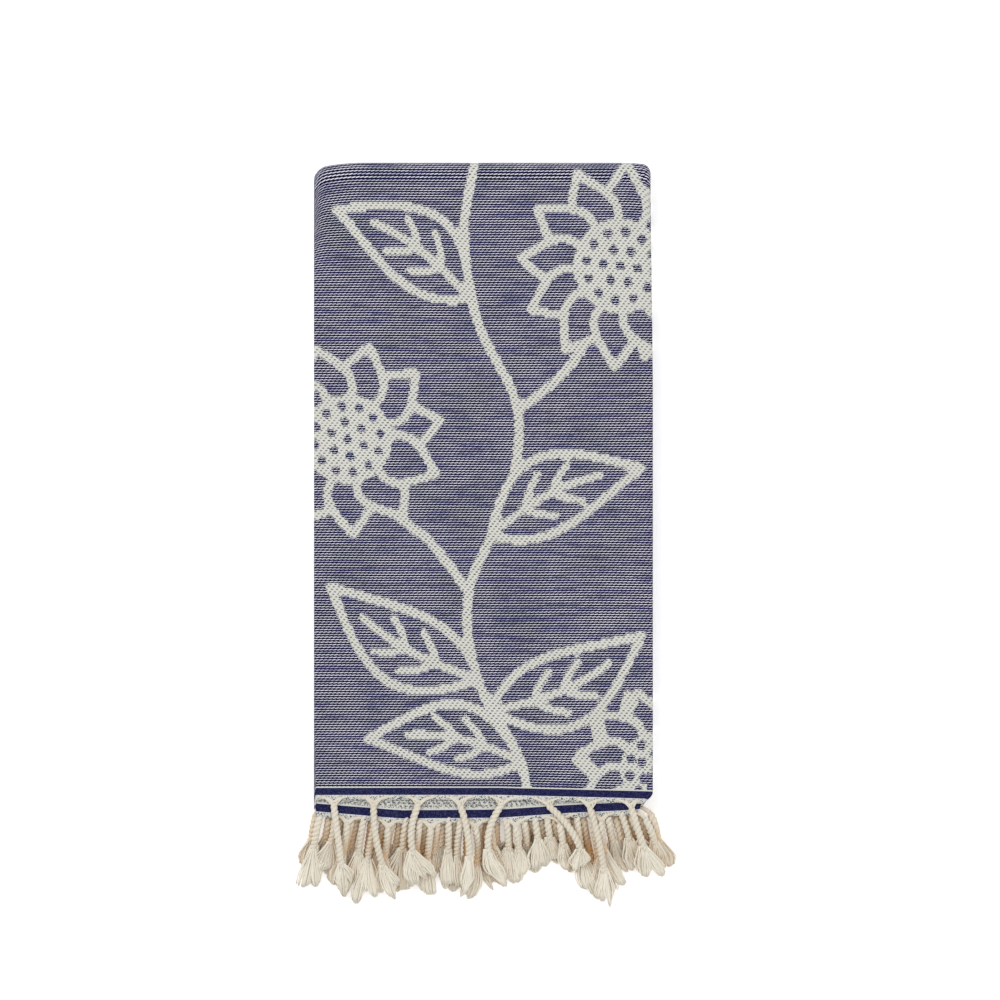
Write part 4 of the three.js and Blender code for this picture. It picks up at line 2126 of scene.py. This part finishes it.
@dataclass(frozen=True)
class Studio:
    """The plain pale floor, the soft light, and the camera straight above the towel."""

    placing: Placing
    pixel: float = 0.693 * MM
    frame_pixels: int = 1000
    middle_pixel: tuple[float, float] = (483.5, 797.0)
    camera_height: float = 1.5
    floor_size: float = 6.0
    floor_drop: float = 0.2 * MM
    floor_colour: Colour = (0.93, 0.93, 0.93, 1.0)
    floor_roughness: float = 0.95
    floor_glow: float = 0.35
    surround: float = 0.66
    lamps: tuple[Lamp, ...] = (
        Lamp("main light", (-1.0, 0.9, 1.9), 24.0),
        Lamp("fill light", (1.2, -0.6, 1.8), 12.0),
    )

    def build(self) -> None:
        """Set up the floor, the camera and the light, which comes mainly from above and to the left."""
        scene = bpy.context.scene
        scene.view_settings.view_transform = "Standard"
        self.build_floor(scene)
        self.build_camera(scene)
        self.build_surround(scene)
        for lamp in self.lamps:
            lamp.build(scene)

    def build_floor(self, scene: bpy.types.Scene) -> None:
        """Lay a large plain floor under the towel.

        Args:
            scene: The scene.
        """
        ground = bmesh.new()
        bmesh.ops.create_grid(ground, x_segments=1, y_segments=1, size=self.floor_size / 2,
                              matrix=Matrix.Translation((0, 0, -self.floor_drop)))
        mesh = bpy.data.meshes.new("studio_floor")
        ground.to_mesh(mesh)
        ground.free()
        floor = bpy.data.objects.new("studio_floor", mesh)
        scene.collection.objects.link(floor)
        material = bpy.data.materials.new("pale floor")
        material.use_nodes = True
        shader = material.node_tree.nodes["Principled BSDF"]
        shader.inputs["Base Color"].default_value = self.floor_colour
        shader.inputs["Roughness"].default_value = self.floor_roughness
        shader.inputs["Emission Color"].default_value = (1, 1, 1, 1)
        shader.inputs["Emission Strength"].default_value = self.floor_glow
        mesh.materials.append(material)
        floor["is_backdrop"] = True

    def build_camera(self, scene: bpy.types.Scene) -> None:
        """Hang the camera straight above, framed as the photograph is.

        Args:
            scene: The scene.
        """
        data = bpy.data.cameras.new("camera")
        data.type = "ORTHO"
        data.ortho_scale = self.pixel * self.frame_pixels
        camera = bpy.data.objects.new("camera", data)
        middle = self.frame_pixels / 2
        camera.location = (
            self.placing.middle_x + (middle - self.middle_pixel[0]) * self.pixel,
            self.placing.hem_y + (self.middle_pixel[1] - middle) * self.pixel,
            self.camera_height,
        )
        scene.collection.objects.link(camera)
        scene.camera = camera

    def build_surround(self, scene: bpy.types.Scene) -> None:
        """Put an even white surround about the towel.

        Args:
            scene: The scene.
        """
        world = bpy.data.worlds.new("soft surround")
        world.use_nodes = True
        background = world.node_tree.nodes["Background"]
        background.inputs["Color"].default_value = (1, 1, 1, 1)
        background.inputs["Strength"].default_value = self.surround
        scene.world = world


def main() -> None:
    """Build the towel and its studio."""
    logging.basicConfig(level=logging.INFO, format="%(message)s")
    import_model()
    cad_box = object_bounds()
    size = TowelSize()
    placing = Placing.from_frame(size)
    Studio(placing).build()
    cloth = Cloth(size, placing)
    sheet = cloth.build()
    LOG.info("cloth: flat cut %.3f by %.3f m", cloth.cut_width, cloth.cut_length)
    yarn = YarnFinish()
    yarn_group = yarn.group()
    upper = Fringe(
        "fringe_upper", size, placing, UPPER_HEM, Strip.UPPER_END, 1,
        rows=((Layer.SECOND, 11 / 14, 0), (Layer.THIRD, 7 / 14, 3), (Layer.UNDER, 3 / 14, 1)),
        heap=Heap(4.9, 20, 46, 6),
        top_tassels=TOP_TASSELS,
    )
    lower = Fringe(
        "fringe_lower", size, placing, LOWER_HEM, Strip.LOWER_END, -1,
        rows=((Layer.UNDER, 13 / 14, 2), (Layer.THIRD, 9 / 14, 6), (Layer.SECOND, 5 / 14, 4),
              (Layer.TOP, 1 / 14, 8)),
        heap=Heap(0.0, 16, 42, 8),
        cord_radius=2.95,
        ply_radius=1.78,
        seed=11,
    )
    # How high the strands lie, which sets the painted shade deep in the fringe.
    cover = Cover(*cad_box)
    for strand_piece in (*upper.pieces(), *lower.pieces()):
        cover.add(np.array(strand_piece.courses))
    cover.soften()
    strands = [*upper.build(yarn, yarn_group, cover), *lower.build(yarn, yarn_group, cover)]
    for piece in strands:
        LOG.info("fringe: %s, %d faces", piece.name, len(piece.data.polygons))


if __name__ == "__main__":
    main()
